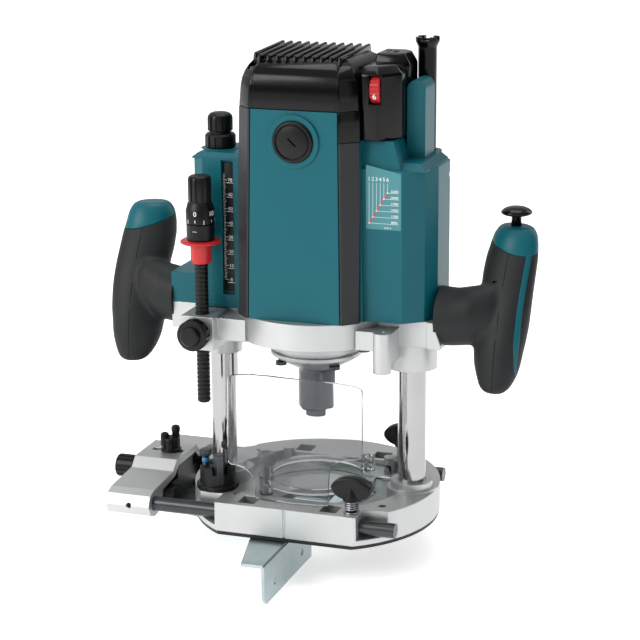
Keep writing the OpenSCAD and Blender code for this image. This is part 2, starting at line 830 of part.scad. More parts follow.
module stopper_pole() {
    color(gloss) translate([pole_pos[0], pole_pos[1], 0]) {
        translate([0, 0, pole_tip]) cylinder(r1 = pole_r - 0.8, r2 = pole_r, h = 1);
        translate([0, 0, pole_tip + 1]) cylinder(r = pole_r, h = 196 - pole_tip - 1);
        translate([0, 0, 196]) cylinder(r = 9.4, h = 11);
        translate([0, 0, 207]) cylinder(r = 3, h = 26);
    }
}

module depth_pointer() {
    color(red) translate([pole_pos[0], pole_pos[1], 0]) difference() {
        union() {
            translate([0, 0, 180]) cylinder(r = 7, h = 14);
            translate([0, 0, 193.6]) cylinder(r = 13.7, h = 2.1);
        }
        translate([0, 0, 170]) cylinder(r = pole_r + free_gap, h = 40);
    }
}

module depth_knob() {
    color(gloss) translate([pole_pos[0], pole_pos[1], 0]) difference() {
        union() {
            translate([0, 0, 207.3]) cylinder(r = 9.6, h = 10);
            translate([0, 0, 217.3]) cylinder(r1 = 9.6, r2 = 8, h = 4.7);
            translate([0, 0, 222]) fluted(7.8, 16, 14, 0.9);
            translate([0, 0, 238]) cylinder(r1 = 7.3, r2 = 6.5, h = 1.2);
        }
        translate([0, 0, 200]) cylinder(r = 3 + run_fit, h = 33.5);
    }
}

module pole_clamp_knob() {
    color(gloss) {
        along_y(-67, -62, 134.5) fluted(10.6, 8, 14, 1);
        along_y(-67, -66, 134.5) cylinder(r = 6.6, h = 4);
        along_y(-67, -54, 134.5) cylinder(r = 3, h = 9.2);
    }
}

// ---- spindle ----

module spindle_shaft() {
    color(steel) difference() {
        rotate_extrude($fn = 64) polygon([[0, 84], [9, 84], [9, 99], [shaft_r, 99], [shaft_r, 140], [8, 140],
            [8, 188], [neck_r, 188], [neck_r, 275], [5, 275], [5, hub_top], [0, hub_top]]);
        translate([0, 0, 80]) cylinder(r = 7.05, h = 20);
    }
}

module armature_core() {
    color(dark_steel) difference() {
        translate([0, 0, 190]) cylinder(r = 20.3, h = 52);
        translate([0, 0, 180]) cylinder(r = neck_r + gap, h = 80);
        for (i = [0 : 11]) rotate([0, 0, i * 30]) translate([19.5, 0, 180]) cylinder(r = 1.4, h = 80, $fn = 16);
    }
}

module commutator() {
    color(copper) translate([0, 0, 256]) difference() {
        union() {
            cylinder(r = 13, h = 18);
            cylinder(r = 15, h = 3);
        }
        translate([0, 0, -1]) cylinder(r = neck_r + gap, h = 30);
    }
}

module cooling_fan() {
    color(cast) translate([0, 0, 152]) difference() {
        union() {
            cylinder(r = 34, h = 2.5);
            cylinder(r = 12, h = 14);
            for (i = [0 : 10]) rotate([0, 0, i * 360 / 11]) translate([14, -1, 2.4]) rotate([0, 0, 18])
                cube([19, 2, 12]);
        }
        translate([0, 0, -1]) cylinder(r = 8 + gap, h = 30);
    }
}

module collet_cone() {
    color(steel) translate([0, 0, 75]) difference() {
        union() {
            translate([0, 0, 4]) cylinder(r = 7, h = 20);
            cylinder(r = 7.8, h = 4);
        }
        translate([0, 0, -1]) cylinder(r = collet_r, h = 30);
    }
}

module collet_nut() {
    color("#6c6f74") translate([0, 0, nut_z]) difference() {
        union() {
            rotate([0, 0, 30]) cylinder(r = nut_flats / 2 / cos(30), h = 19, $fn = 6);
            cylinder(r = 12.5, h = 24);
        }
        translate([0, 0, -1]) cylinder(r = 7.85, h = 7);
        translate([0, 0, 5.5]) cylinder(r = 9 + gap, h = 30);
    }
}

// ---- straight guide ----

// Side view of the holder: two feet, a slope and a raised middle
module holder_profile() {
    polygon([[-59, 22], [-25, 24], [-18, 30.5], [18, 30.5], [25, 24], [59, 22],
             [66, 19.5], [69.5, 12.5], [66, 5.5], [59, 3], [52, 4], [46, 10], [44, 17],
             [22, 20], [16, 25.5], [-16, 25.5], [-22, 20], [-44, 17],
             [-46, 10], [-52, 4], [-59, 3], [-66, 5.5], [-69.5, 12.5], [-66, 19.5]]);
}
module guide_holder() {
    x0 = guide_x - guide_w / 2;
    color(cast) difference() {
        union() {
            translate([x0, 0, 0]) rotate([90, 0, 90]) linear_extrude(guide_w) holder_profile();
            // outer wall that carries the fine screw
            box([x0, -40, 8], [x0 + 4, 40, 22]);
        }
        for (s = [-1, 1]) along_x(x0 + 4, s * rod_y, rod_z) cylinder(r = rod_r + gap, h = 60);
        along_x(x0 - 5, 0, fine_z) cylinder(r = 3 + run_fit, h = 20);
        // slot of the wing bolt
        box([guide_x - 10, -2.8, 20], [guide_x + 13, 2.8, 40]);
        for (s = [-1, 1]) along_y(guide_x + 1, s * 64 - 8, rod_z) cylinder(r = 1.9, h = 16);
    }
}

module guide_rods() {
    color(dark_steel) for (s = [-1, 1]) along_x(guide_x - guide_w / 2 + 4.2, s * rod_y, rod_z)
        cylinder(r = rod_r, h = 74.5 - (guide_x - guide_w / 2 + 4.2));
}

module fine_knob() {
    color(gloss) {
        along_x(-151, 0, fine_z) fluted(8.2, 14, 14, 1);
        along_x(-137, 0, fine_z) cylinder(r = 5, h = 6.5);
        along_x(-131, 0, fine_z) cylinder(r = 3, h = 8);
    }
}

module fence_slider() {
    color(gloss) difference() {
        union() {
            box([-119, -42, 4], [-99.5, 42, 15.5]);
            box([-116, -14, 15], [-99.5, 14, 25.2]);
            box([-119, -30, -0.4], [-101, 30, 5]);
            // arms that reach along under the base's rim
            for (s = [-1, 1]) box([-100, s * 34 - 6, 4], [-92, s * 34 + 6, 16]);
        }
        translate([guide_x + 4, 0, -5]) cylinder(r = 2.6, h = 40);
        along_x(-122, 0, fine_z) cylinder(r = 3 + free_gap, h = 18);
        for (s = [-1, 1]) translate([-110, s * 22, -5]) cylinder(r = 2.1, h = 16);
    }
}

module fence_plate() {
    t = 2;
    color(zinc) difference() {
        union() {
            translate([0, 0, -0.5 - t]) linear_extrude(t) polygon([[-120, -32], [-90, -32], [-27, -58], [-14, -fence_end],
                [fence_x - 1, -fence_end], [fence_x - 1, fence_end], [-14, fence_end], [-27, 58], [-90, 32], [-120, 32]]);
            box([fence_x - t, -fence_end, -fence_h - 0.5], [fence_x, fence_end, -0.5 - t + 1]);
        }
        // gap for the cutter
        box([-24, -20, -fence_h - 5], [fence_x + 5, 20, 5]);
        for (y = [-93.2, -39.6, 39.6, 93.2]) along_x(-10, y, -18.5) cylinder(r = 2.3, h = 20);
        for (s = [-1, 1]) translate([-110, s * 22, -20]) cylinder(r = 2.1, h = 30);
        front_and_back() translate([fence_x - 5, -fence_end + 0.01, -fence_h - 0.5]) rotate([45, 0, 0])
            cube([10, 6, 6], center = true);
    }
}

module fence_wing_bolt() {
    color(gloss) translate([guide_x + 4, 0, 0]) {
        translate([0, 0, 5]) cylinder(r = 2.5, h = 27);
        translate([0, 0, 30.7]) fluted(7.4, 10, 10, 0.9);
        translate([2.5, 3, 40.7]) cylinder(r = 3.2, h = 8);
    }
}

base_casting();
sole_plate();
sole_screws();
post_left();
post_right();
plunge_spring();
height_screw();
height_knob();
dust_nozzle();
nozzle_screw();
chip_deflector();
stopper_turret();
turret_screws();
clamp_knob_front();
clamp_knob_rear();
clamp_springs();
motor_bracket();
post_bushes();
bearing_retainer();
bracket_screws();
motor_housing();
corner_trims();
top_cover();
cover_screws();
dial_cover();
speed_dial();
scale_plate();
brush_caps();
brush_holders();
carbon_brushes();
lower_bearing();
upper_bearing();
stator_core();
field_coils();
controller_board();
cord_guard();
left_grip();
right_grip();
grip_caps();
lock_button();
switch_trigger();
switch_body();
plunge_lock_lever();
shaft_lock();
stopper_pole();
depth_pointer();
depth_knob();
pole_clamp_knob();
spindle_shaft();
armature_core();
commutator();
cooling_fan();
collet_cone();
collet_nut();
guide_holder();
guide_rods();
fine_knob();
fence_slider();
fence_plate();
fence_wing_bolt();
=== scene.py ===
import math

import bmesh
import bpy
from mathutils import Matrix, Vector


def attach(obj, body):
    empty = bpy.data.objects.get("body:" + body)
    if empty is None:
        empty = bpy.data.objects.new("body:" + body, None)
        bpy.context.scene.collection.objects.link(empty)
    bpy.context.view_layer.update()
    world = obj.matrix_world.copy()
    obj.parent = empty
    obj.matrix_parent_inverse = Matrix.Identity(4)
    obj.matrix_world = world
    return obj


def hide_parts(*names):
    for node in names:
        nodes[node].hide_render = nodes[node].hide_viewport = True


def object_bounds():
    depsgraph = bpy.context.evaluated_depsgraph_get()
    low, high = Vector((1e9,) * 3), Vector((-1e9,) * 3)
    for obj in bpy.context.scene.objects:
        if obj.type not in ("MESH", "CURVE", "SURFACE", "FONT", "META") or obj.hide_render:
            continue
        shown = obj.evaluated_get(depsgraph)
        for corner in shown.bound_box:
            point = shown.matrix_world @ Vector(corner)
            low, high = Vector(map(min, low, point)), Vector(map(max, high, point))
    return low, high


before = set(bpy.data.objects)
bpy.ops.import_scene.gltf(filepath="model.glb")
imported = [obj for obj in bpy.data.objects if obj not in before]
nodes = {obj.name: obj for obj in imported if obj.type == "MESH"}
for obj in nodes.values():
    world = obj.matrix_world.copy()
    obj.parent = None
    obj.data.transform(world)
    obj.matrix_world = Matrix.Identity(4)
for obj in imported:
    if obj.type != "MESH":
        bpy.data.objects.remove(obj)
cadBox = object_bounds()
mm = 0.001
print("frame loaded:", len(nodes), "nodes")

# ---------- camera, floor and light ----------

cameraSet = {"azimuth": 19.02, "elevation": 15.175, "roll": -0.354, "distance": 1.41996,
             "target": (0.0034376, -0.003096, 0.1364983), "lens": 117.62}
studioSet = {"world": 0.66, "key": 4.6, "fill": 0.5, "top": 2.6, "rim": 1.2, "floorGlow": 0.6}


def addNode(tree, kind, settings=None, links=None):
    node = tree.nodes.new(kind)
    for key, value in (settings or {}).items():
        if hasattr(node, key):
            setattr(node, key, value)
        else:
            node.inputs[key].default_value = value
    for key, source in (links or {}).items():
        tree.links.new(source, node.inputs[key])
    return node


def linear(hexColour, alpha=1.0):
    parts = [int(hexColour[i:i + 2], 16) / 255 for i in (1, 3, 5)]
    return [p / 12.92 if p <= 0.04045 else ((p + 0.055) / 1.055) ** 2.4 for p in parts] + [alpha]


def placeCamera(view):
    a, e, roll = (math.radians(view[k]) for k in ("azimuth", "elevation", "roll"))
    back = Vector((math.sin(a) * math.cos(e), -math.cos(a) * math.cos(e), math.sin(e)))
    right = Vector((math.cos(a), math.sin(a), 0))
    up = back.cross(right)
    side = right * math.cos(roll) + up * math.sin(roll)
    top = up * math.cos(roll) - right * math.sin(roll)
    turn = Matrix((side, top, back)).transposed().to_4x4()
    bpy.ops.object.camera_add()
    camera = bpy.context.object
    camera.name = "productCamera"
    camera.matrix_world = Matrix.Translation(Vector(view["target"]) + back * view["distance"]) @ turn
    camera.data.lens = view["lens"]
    camera.data.sensor_width = 36
    bpy.context.scene.camera = camera


def softbox(name, place, aim, size, power, colour):
    bpy.ops.object.light_add(type="AREA", location=place)
    light = bpy.context.object
    light.name = name
    light.rotation_euler = (Vector(aim) - Vector(place)).to_track_quat("-Z", "Y").to_euler()
    light.data.shape = "RECTANGLE"
    light.data.size, light.data.size_y = size
    light.data.energy = power
    light.data.color = linear(colour)[:3]


def buildStudio(view, studio):
    placeCamera(view)
    middle = (0, 0, 0.15)
    softbox("keyBox", (-0.9, -1.1, 1.0), middle, (0.9, 0.9), studio["key"] * 4, "#fffdf8")
    softbox("fillBox", (1.5, -0.8, 0.7), middle, (0.8, 1.2), studio["fill"] * 4, "#f8fbff")
    softbox("topBox", (0.0, 0.15, 1.5), middle, (1.0, 0.8), studio["top"] * 3, "#ffffff")
    softbox("rimBox", (0.9, 1.1, 0.8), middle, (0.5, 1.0), studio["rim"] * 3, "#ffffff")
    world = bpy.data.worlds.new("paleStudio")
    bpy.context.scene.world = world
    world.use_nodes = True
    sky = world.node_tree
    sky.nodes["Background"].inputs["Strength"].default_value = studio["world"]
    reach = addNode(sky, "ShaderNodeTexCoord")
    towards = addNode(sky, "ShaderNodeVectorMath", {"operation": "DOT_PRODUCT"}, {0: reach.outputs["Generated"]})
    towards.inputs[1].default_value = Vector((-0.45, 0.05, 0.89)).normalized()
    ramp = addNode(sky, "ShaderNodeValToRGB", None, {"Fac": towards.outputs["Value"]})
    ramp.color_ramp.elements[0].position = -0.0
    ramp.color_ramp.elements[0].color = linear("#3c3e42")
    ramp.color_ramp.elements[1].position = 0.42
    ramp.color_ramp.elements[1].color = linear("#ffffff")
    sky.links.new(ramp.outputs["Color"], sky.nodes["Background"].inputs["Color"])
    bpy.context.scene.view_settings.view_transform = "Standard"
    bpy.ops.mesh.primitive_plane_add(size=24, location=(0, 0, cadBox[0][2] - 0.0005))
    floor = bpy.context.object
    floor.name = "studioFloor"
    paint = bpy.data.materials.new("paleBackdropPaint")
    paint.use_nodes = True
    tree = paint.node_tree
    shader = tree.nodes["Principled BSDF"]
    shader.inputs["Roughness"].default_value = 0.9
    place = addNode(tree, "ShaderNodeTexCoord")
    mottle = addNode(tree, "ShaderNodeTexNoise", {"Scale": 3.0}, {"Vector": place.outputs["Object"]})
    tint = addNode(tree, "ShaderNodeMix", {"data_type": "RGBA"}, {"Factor": mottle.outputs["Fac"]})
    tint.inputs["A"].default_value = linear("#fbfbfb")
    tint.inputs["B"].default_value = linear("#ffffff")
    tree.links.new(tint.outputs["Result"], shader.inputs["Base Color"])
    tree.links.new(tint.outputs["Result"], shader.inputs["Emission Color"])
    shader.inputs["Emission Strength"].default_value = studio["floorGlow"]
    floor.data.materials.append(paint)


bpy.ops.object.select_all(action="DESELECT")
buildStudio(cameraSet, studioSet)
print("camera and studio placed")

# ---------- materials ----------
# Pattern sizes are in millimetres of the real surface.


def newMaterial(name):
    made = bpy.data.materials.new(name)
    made.use_nodes = True
    tree = made.node_tree
    place = addNode(tree, "ShaderNodeTexCoord")
    return made, tree, tree.nodes["Principled BSDF"], place.outputs["Object"]


def surface(tree, shader, place, colours, roughness, grain, depth, cloud, edge, detail=3.0):
    fine = addNode(tree, "ShaderNodeTexNoise", {"Scale": 1 / (grain * mm), "Detail": detail}, {"Vector": place})
    broad = addNode(tree, "ShaderNodeTexNoise", {"Scale": 1 / (cloud * mm), "Detail": 2.0}, {"Vector": place})
    tint = addNode(tree, "ShaderNodeMix", {"data_type": "RGBA"}, {"Factor": broad.outputs["Fac"]})
    tint.inputs["A"].default_value = linear(colours[0])
    tint.inputs["B"].default_value = linear(colours[1])
    tree.links.new(tint.outputs["Result"], shader.inputs["Base Color"])
    spread = addNode(tree, "ShaderNodeMapRange", {"To Min": roughness[0], "To Max": roughness[1]},
                     {"Value": fine.outputs["Fac"]})
    tree.links.new(spread.outputs["Result"], shader.inputs["Roughness"])
    rounded = addNode(tree, "ShaderNodeBevel", {"samples": 4, "Radius": edge * mm})
    bump = addNode(tree, "ShaderNodeBump", {"Strength": 1.0, "Distance": depth * mm},
                   {"Height": fine.outputs["Fac"], "Normal": rounded.outputs["Normal"]})
    tree.links.new(bump.outputs["Normal"], shader.inputs["Normal"])


def mouldedPlastic(name, colours, roughness, grain, depth, edge=0.6, shine=0.32):
    made, tree, shader, place = newMaterial(name)
    surface(tree, shader, place, colours, roughness, grain, depth, 60, edge)
    shader.inputs["IOR"].default_value = 1.53
    shader.inputs["Specular IOR Level"].default_value = shine
    return made


def worked(name, colours, roughness, grain, depth, edge=0.5, metallic=1.0, cloud=30):
    made, tree, shader, place = newMaterial(name)
    surface(tree, shader, place, colours, roughness, grain, depth, cloud, edge)
    shader.inputs["Metallic"].default_value = metallic
    return made


def clearPlastic(name, tint, roughness, ior):
    made, tree, shader, place = newMaterial(name)
    smear = addNode(tree, "ShaderNodeTexNoise", {"Scale": 1 / (25 * mm), "Detail": 3.0}, {"Vector": place})
    spread = addNode(tree, "ShaderNodeMapRange", {"To Min": roughness * 0.5, "To Max": roughness * 1.5},
                     {"Value": smear.outputs["Fac"]})
    tree.links.new(spread.outputs["Result"], shader.inputs["Roughness"])
    shader.inputs["Base Color"].default_value = linear(tint)
    shader.inputs["Transmission Weight"].default_value = 1.0
    shader.inputs["IOR"].default_value = ior
    return made


tealAbs = mouldedPlastic("tealMouldedAbs", ("#02535e", "#045762"), (0.32, 0.44), 0.5, 0.012, 0.9, 0.22)
glossAbs = mouldedPlastic("polishedBlackAbs", ("#040405", "#060607"), (0.12, 0.18), 2.5, 0.006, 1.0, 0.2)
trimNylon = mouldedPlastic("darkGreyNylon", ("#1d1f22", "#222427"), (0.38, 0.5), 0.6, 0.015, 0.5)
knobNylon = mouldedPlastic("blackGlassNylon", ("#050506", "#090a0b"), (0.32, 0.46), 0.5, 0.02, 0.4, 0.24)
gripRubber = mouldedPlastic("blackElastomer", ("#131517", "#181a1c"), (0.5, 0.64), 0.7, 0.03, 0.8, 0.28)
redAcetal = mouldedPlastic("redAcetal", ("#ae1a20", "#b62226"), (0.28, 0.38), 0.5, 0.01, 0.4)
greyNylon = mouldedPlastic("greyNylon", ("#6e7076", "#7c7e83"), (0.42, 0.55), 0.5, 0.02, 0.4)
soleResin = mouldedPlastic("blackPhenolic", ("#0d0d0e", "#141415"), (0.4, 0.55), 0.8, 0.01, 0.3)
boardLaminate = mouldedPlastic("greenBoardLaminate", ("#1d5a2f", "#256b39"), (0.3, 0.45), 0.5, 0.01, 0.2)
carbonBlock = mouldedPlastic("pressedCarbon", ("#151517", "#222224"), (0.5, 0.65), 0.3, 0.02, 0.2)
castAluminium = worked("blastedCastAluminium", ("#b2b4b5", "#c0c2c2"), (0.34, 0.5), 0.45, 0.035, 0.9, 0.82)
chromeSteel = worked("hardChromedSteel", ("#9b9a9b", "#a5a4a5"), (0.10, 0.16), 3.0, 0.002, 0.3)
brightSteel = worked("turnedSteel", ("#9d9fa3", "#b4b6ba"), (0.22, 0.34), 0.5, 0.01, 0.3)
blackSteel = worked("blackOxideSteel", ("#36383c", "#46484c"), (0.24, 0.36), 0.6, 0.012, 0.3, 0.75)
nutSteel = worked("phosphatedSteel", ("#53565b", "#666a6f"), (0.36, 0.48), 0.6, 0.012, 0.6, 0.85)
zincSteel = worked("zincPlatedSteel", ("#8d9ea3", "#b3c0c2"), (0.22, 0.4), 1.2, 0.012, 0.8, 0.95, 18)
copperWire = worked("varnishedCopper", ("#8f4f28", "#a96336"), (0.25, 0.4), 0.5, 0.03, 0.2)
clearAcrylic = clearPlastic("clearAcrylic", "#e6ecec", 0.05, 1.3)
screenAcrylic = clearPlastic("clearScreenAcrylic", "#d6d7da", 0.04, 1.35)

nodeLooks = {
    "tealAbs": (tealAbs, ["motor_housing", "grip_caps"]),
    "glossAbs": (glossAbs, ["top_cover", "dial_cover", "lock_button", "switch_trigger", "cord_guard"]),
    "trimNylon": (trimNylon, ["corner_trims"]),
    "knobNylon": (knobNylon, ["height_knob", "clamp_knob_front", "clamp_knob_rear", "stopper_turret",
                              "depth_knob", "pole_clamp_knob", "fine_knob", "fence_wing_bolt",
                              "fence_slider", "brush_caps", "plunge_lock_lever", "shaft_lock",
                              "stopper_pole", "scale_plate", "switch_body", "cooling_fan"]),
    "gripRubber": (gripRubber, ["left_grip", "right_grip"]),
    "redAcetal": (redAcetal, ["depth_pointer", "speed_dial"]),
    "greyNylon": (greyNylon, ["nozzle_screw"]),
    "soleResin": (soleResin, ["sole_plate"]),
    "boardLaminate": (boardLaminate, ["controller_board"]),
    "carbonBlock": (carbonBlock, ["carbon_brushes"]),
    "castAluminium": (castAluminium, ["base_casting", "motor_bracket", "bearing_retainer", "guide_holder"]),
    "chromeSteel": (chromeSteel, ["post_left", "post_right"]),
    "brightSteel": (brightSteel, ["sole_screws", "clamp_springs", "lower_bearing", "upper_bearing",
                                  "spindle_shaft", "collet_cone"]),
    "blackSteel": (blackSteel, ["turret_screws", "bracket_screws", "cover_screws", "guide_rods",
                                "height_screw", "plunge_spring", "armature_core", "stator_core"]),
    "nutSteel": (nutSteel, ["collet_nut"]),
    "zincSteel": (zincSteel, ["fence_plate"]),
    "copperWire": (copperWire, ["field_coils", "commutator", "brush_holders", "post_bushes"]),
    "clearAcrylic": (clearAcrylic, ["dust_nozzle", "chip_deflector"]),
}
for look, members in nodeLooks.values():
    for name in members:
        for materialSlot in nodes[name].material_slots:
            materialSlot.material = look
print("materials on the CAD nodes")


# ---------- modelling helpers ----------


def startFresh():
    if bpy.context.object and bpy.context.object.mode != "OBJECT":
        bpy.ops.object.mode_set(mode="OBJECT")
    bpy.ops.object.select_all(action="DESELECT")


def activate(piece):
    startFresh()
    piece.select_set(True)
    bpy.context.view_layer.objects.active = piece


def editAll(piece):
    activate(piece)
    bpy.ops.object.mode_set(mode="EDIT")
    bpy.ops.mesh.select_mode(type="FACE")
    bpy.ops.mesh.select_all(action="SELECT")


def pickFaces(piece, test):
    editAll(piece)
    mesh = bmesh.from_edit_mesh(piece.data)
    for face in mesh.faces:
        face.select_set(bool(test(face.calc_center_median() / mm, face.normal)))
    bmesh.update_edit_mesh(piece.data)


def pickVerts(piece, test):
    editAll(piece)
    bpy.ops.mesh.select_mode(type="VERT")
    mesh = bmesh.from_edit_mesh(piece.data)
    for vert in mesh.verts:
        vert.select_set(bool(test(vert.co / mm)))
    mesh.select_flush_mode()
    bmesh.update_edit_mesh(piece.data)


def addModifier(piece, kind, **settings):
    activate(piece)
    modifier = piece.modifiers.new(kind.title(), kind)
    for key, value in settings.items():
        setattr(modifier, key, value)
    bpy.ops.object.modifier_apply(modifier=modifier.name)


def roundEdges(piece, width, segments=2, angle=35):
    addModifier(piece, "BEVEL", width=width * mm, segments=segments, limit_method="ANGLE",
                angle_limit=math.radians(angle))


def copyOf(piece, name):
    twin = piece.copy()
    twin.data = piece.data.copy()
    twin.name = name
    bpy.context.collection.objects.link(twin)
    return twin


def joinAll(pieces, name):
    startFresh()
    for piece in pieces:
        piece.select_set(True)
    bpy.context.view_layer.objects.active = pieces[0]
    if len(pieces) > 1:
        bpy.ops.object.join()
    pieces[0].name = name
    return pieces[0]


def settle(piece, place=(0, 0, 0), turn=(0, 0, 0)):
    activate(piece)
    piece.rotation_euler = [math.radians(t) for t in turn]
    piece.location = Vector(place) * mm
    bpy.ops.object.transform_apply(location=True, rotation=True, scale=True)
    return piece


def finishPiece(piece, look, body, replaced=(), smooth=35):
    activate(piece)
    bpy.ops.object.transform_apply(location=True, rotation=True, scale=True)
    bpy.ops.object.shade_smooth_by_angle(angle=math.radians(smooth))
    piece.data.materials.clear()
    piece.data.materials.append(look)
    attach(piece, body)
    if replaced:
        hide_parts(*replaced)
    return piece


# A solid of revolution about Z: each step of the profile is (radius, height)
def turned(name, profile, segments=48):
    startFresh()
    radius, height = profile[0]
    bpy.ops.mesh.primitive_circle_add(vertices=segments, radius=radius * mm, fill_type="NGON",
                                      location=(0, 0, height * mm))
    piece = bpy.context.object
    piece.name = name
    editAll(piece)
    for (r0, z0), (r1, z1) in zip(profile, profile[1:]):
        bpy.ops.mesh.extrude_region_move(TRANSFORM_OT_translate={"value": (0, 0, (z1 - z0) * mm)})
        bpy.ops.transform.resize(value=(r1 / r0, r1 / r0, 1))
    bpy.ops.mesh.select_all(action="SELECT")
    bpy.ops.mesh.normals_make_consistent(inside=False)
    activate(piece)
    bpy.ops.object.transform_apply(location=True, rotation=True, scale=True)
    return piece


# Grip grooves: of each group of side faces between two heights, the first ones sink in
def sinkFlutes(piece, low, high, segments, group, sunk, depth):
    step = 2 * math.pi / segments

    def inGroove(centre, normal):
        if abs(normal.z) > 0.6 or not low < centre.z < high:
            return False
        return int(round((math.atan2(centre.y, centre.x) / step) - 0.5)) % group < sunk

    pickFaces(piece, inGroove)
    bpy.ops.mesh.inset(thickness=0.12 * mm, depth=-depth * mm)
    activate(piece)


def boxPiece(name, low, high):
    startFresh()
    low, high = Vector(low) * mm, Vector(high) * mm
    bpy.ops.mesh.primitive_cube_add(size=1, location=(low + high) / 2)
    piece = bpy.context.object
    piece.name = name
    piece.scale = high - low
    bpy.ops.object.transform_apply(location=True, rotation=True, scale=True)
    return piece


# A flat plate of a given outline (x, y), drawn point by point and pulled up to its height
def outlinePlate(name, points, low, high):
    startFresh()
    bpy.ops.mesh.primitive_circle_add(vertices=len(points), radius=mm, fill_type="NGON",
                                      location=(0, 0, low * mm))
    piece = bpy.context.object
    piece.name = name
    bpy.ops.object.transform_apply(location=True, rotation=True, scale=True)
    editAll(piece)
    bpy.ops.mesh.select_mode(type="VERT")
    for i, (x, y) in enumerate(points):
        mesh = bmesh.from_edit_mesh(piece.data)
        mesh.verts.ensure_lookup_table()
        for vert in mesh.verts:
            vert.select_set(vert.index == i)
        mesh.select_flush_mode()
        start = mesh.verts[i].co.copy()
        bmesh.update_edit_mesh(piece.data)
        bpy.ops.transform.translate(value=(x * mm - start.x, y * mm - start.y, 0))
    bpy.ops.mesh.select_mode(type="FACE")
    bpy.ops.mesh.select_all(action="SELECT")
    bpy.ops.mesh.extrude_region_move(TRANSFORM_OT_translate={"value": (0, 0, (high - low) * mm)})
    bpy.ops.mesh.select_all(action="SELECT")
    bpy.ops.mesh.normals_make_consistent(inside=False)
    activate(piece)
    return piece


# A closed body drawn through elliptic rings: (x, y, z, half x, half y, turn about z)
def ringBody(name, rings, segments=24):
    startFresh()
    x, y, z, hx, hy, turn = rings[0]
    bpy.ops.mesh.primitive_circle_add(vertices=segments, radius=mm, fill_type="NGON",
                                      location=(x * mm, y * mm, z * mm))
    piece = bpy.context.object
    piece.name = name
    piece.scale = (hx, hy, 1)
    piece.rotation_euler = (0, 0, math.radians(turn))
    bpy.ops.object.transform_apply(location=True, rotation=True, scale=True)
    editAll(piece)
    for before, after in zip(rings, rings[1:]):
        step = [(b - a) * mm for a, b in zip(before[:3], after[:3])]
        bpy.ops.mesh.extrude_region_move(TRANSFORM_OT_translate={"value": step})
        middle = Vector(after[:3]) * mm
        grow = (after[3] / before[3], after[4] / before[4], 1)
        spin = Matrix.Rotation(math.radians(after[5]), 3, "Z")
        bpy.ops.transform.resize(value=grow, orient_matrix=spin.transposed(), center_override=middle)
    bpy.ops.mesh.select_all(action="SELECT")
    bpy.ops.mesh.normals_make_consistent(inside=False)
    activate(piece)
    return piece


def sliceOff(piece, point, normal, keepUpper):
    editAll(piece)
    bpy.ops.mesh.bisect(plane_co=Vector(point) * mm, plane_no=normal, use_fill=True,
                        clear_inner=keepUpper, clear_outer=not keepUpper)
    activate(piece)


# A fine V groove where a plane meets the surface
def scoreLine(piece, point, normal, width, depth, where):
    point, normal = Vector(point), Vector(normal).normalized()
    for shift in (-width / 2, 0, width / 2):
        editAll(piece)
        bpy.ops.mesh.bisect(plane_co=(point + normal * shift) * mm, plane_no=normal)
    pickVerts(piece, lambda v: abs((v - point).dot(normal)) < 0.01 and where(v))
    bpy.ops.transform.shrink_fatten(value=-depth * mm)
    activate(piece)


# Raised print: words as a thin mesh that faces -Y before it is turned
def printText(words, height, place, turn=(0, 0, 0)):
    startFresh()
    bpy.ops.object.text_add(location=(0, 0, 0))
    sign = bpy.context.object
    sign.data.body = words
    sign.data.size = height * mm / 0.7
    sign.data.align_x = "CENTER"
    sign.data.extrude = 0.06 * mm
    sign.rotation_euler = (math.radians(90), 0, 0)
    bpy.ops.object.convert(target="MESH")
    bpy.ops.object.transform_apply(location=True, rotation=True, scale=True)
    return settle(bpy.context.object, place, turn)


def cutAway(piece, cutter):
    addModifier(piece, "BOOLEAN", operation="DIFFERENCE", object=cutter, solver="EXACT")
    bpy.data.objects.remove(cutter)
    return piece


def bore(piece, radius, low, high):
    return cutAway(piece, turned("cutter", [(radius, low), (radius, high)], 32))


# A wire wound about Z with closed ends
def wound(name, radius, wire, low, high, turns, steps=20):
    startFresh()
    bpy.ops.mesh.primitive_circle_add(vertices=8, radius=wire * mm, fill_type="NOTHING",
                                      location=(radius * mm, 0, low * mm), rotation=(math.pi / 2, 0, 0))
    piece = bpy.context.object
    piece.name = name
    bpy.ops.object.transform_apply(location=True, rotation=True, scale=True)
    addModifier(piece, "SCREW", angle=math.tau * turns, screw_offset=(high - low) * mm, iterations=1,
                steps=int(steps * turns), render_steps=int(steps * turns), axis="Z")
    editAll(piece)
    bpy.ops.mesh.select_mode(type="EDGE")
    bpy.ops.mesh.select_all(action="DESELECT")
    bpy.ops.mesh.select_non_manifold()
    bpy.ops.mesh.fill_holes(sides=12)
    bpy.ops.mesh.select_all(action="SELECT")
    bpy.ops.mesh.normals_make_consistent(inside=False)
    activate(piece)
    return piece


whiteInk = mouldedPlastic("whitePadPrint", ("#dfe3e4", "#eceeee"), (0.45, 0.6), 0.4, 0.004, 0.05)
redInk = mouldedPlastic("redPadPrint", ("#c8343a", "#d23c41"), (0.45, 0.6), 0.4, 0.004, 0.05)
labelFilm = mouldedPlastic("greyTealLabelFilm", ("#3f7c84", "#47848b"), (0.4, 0.5), 0.5, 0.004, 0.1)
markInk = mouldedPlastic("bluePaint", ("#2374ad", "#2c7fb8"), (0.4, 0.5), 0.4, 0.004, 0.05)

# ---------- grips ----------

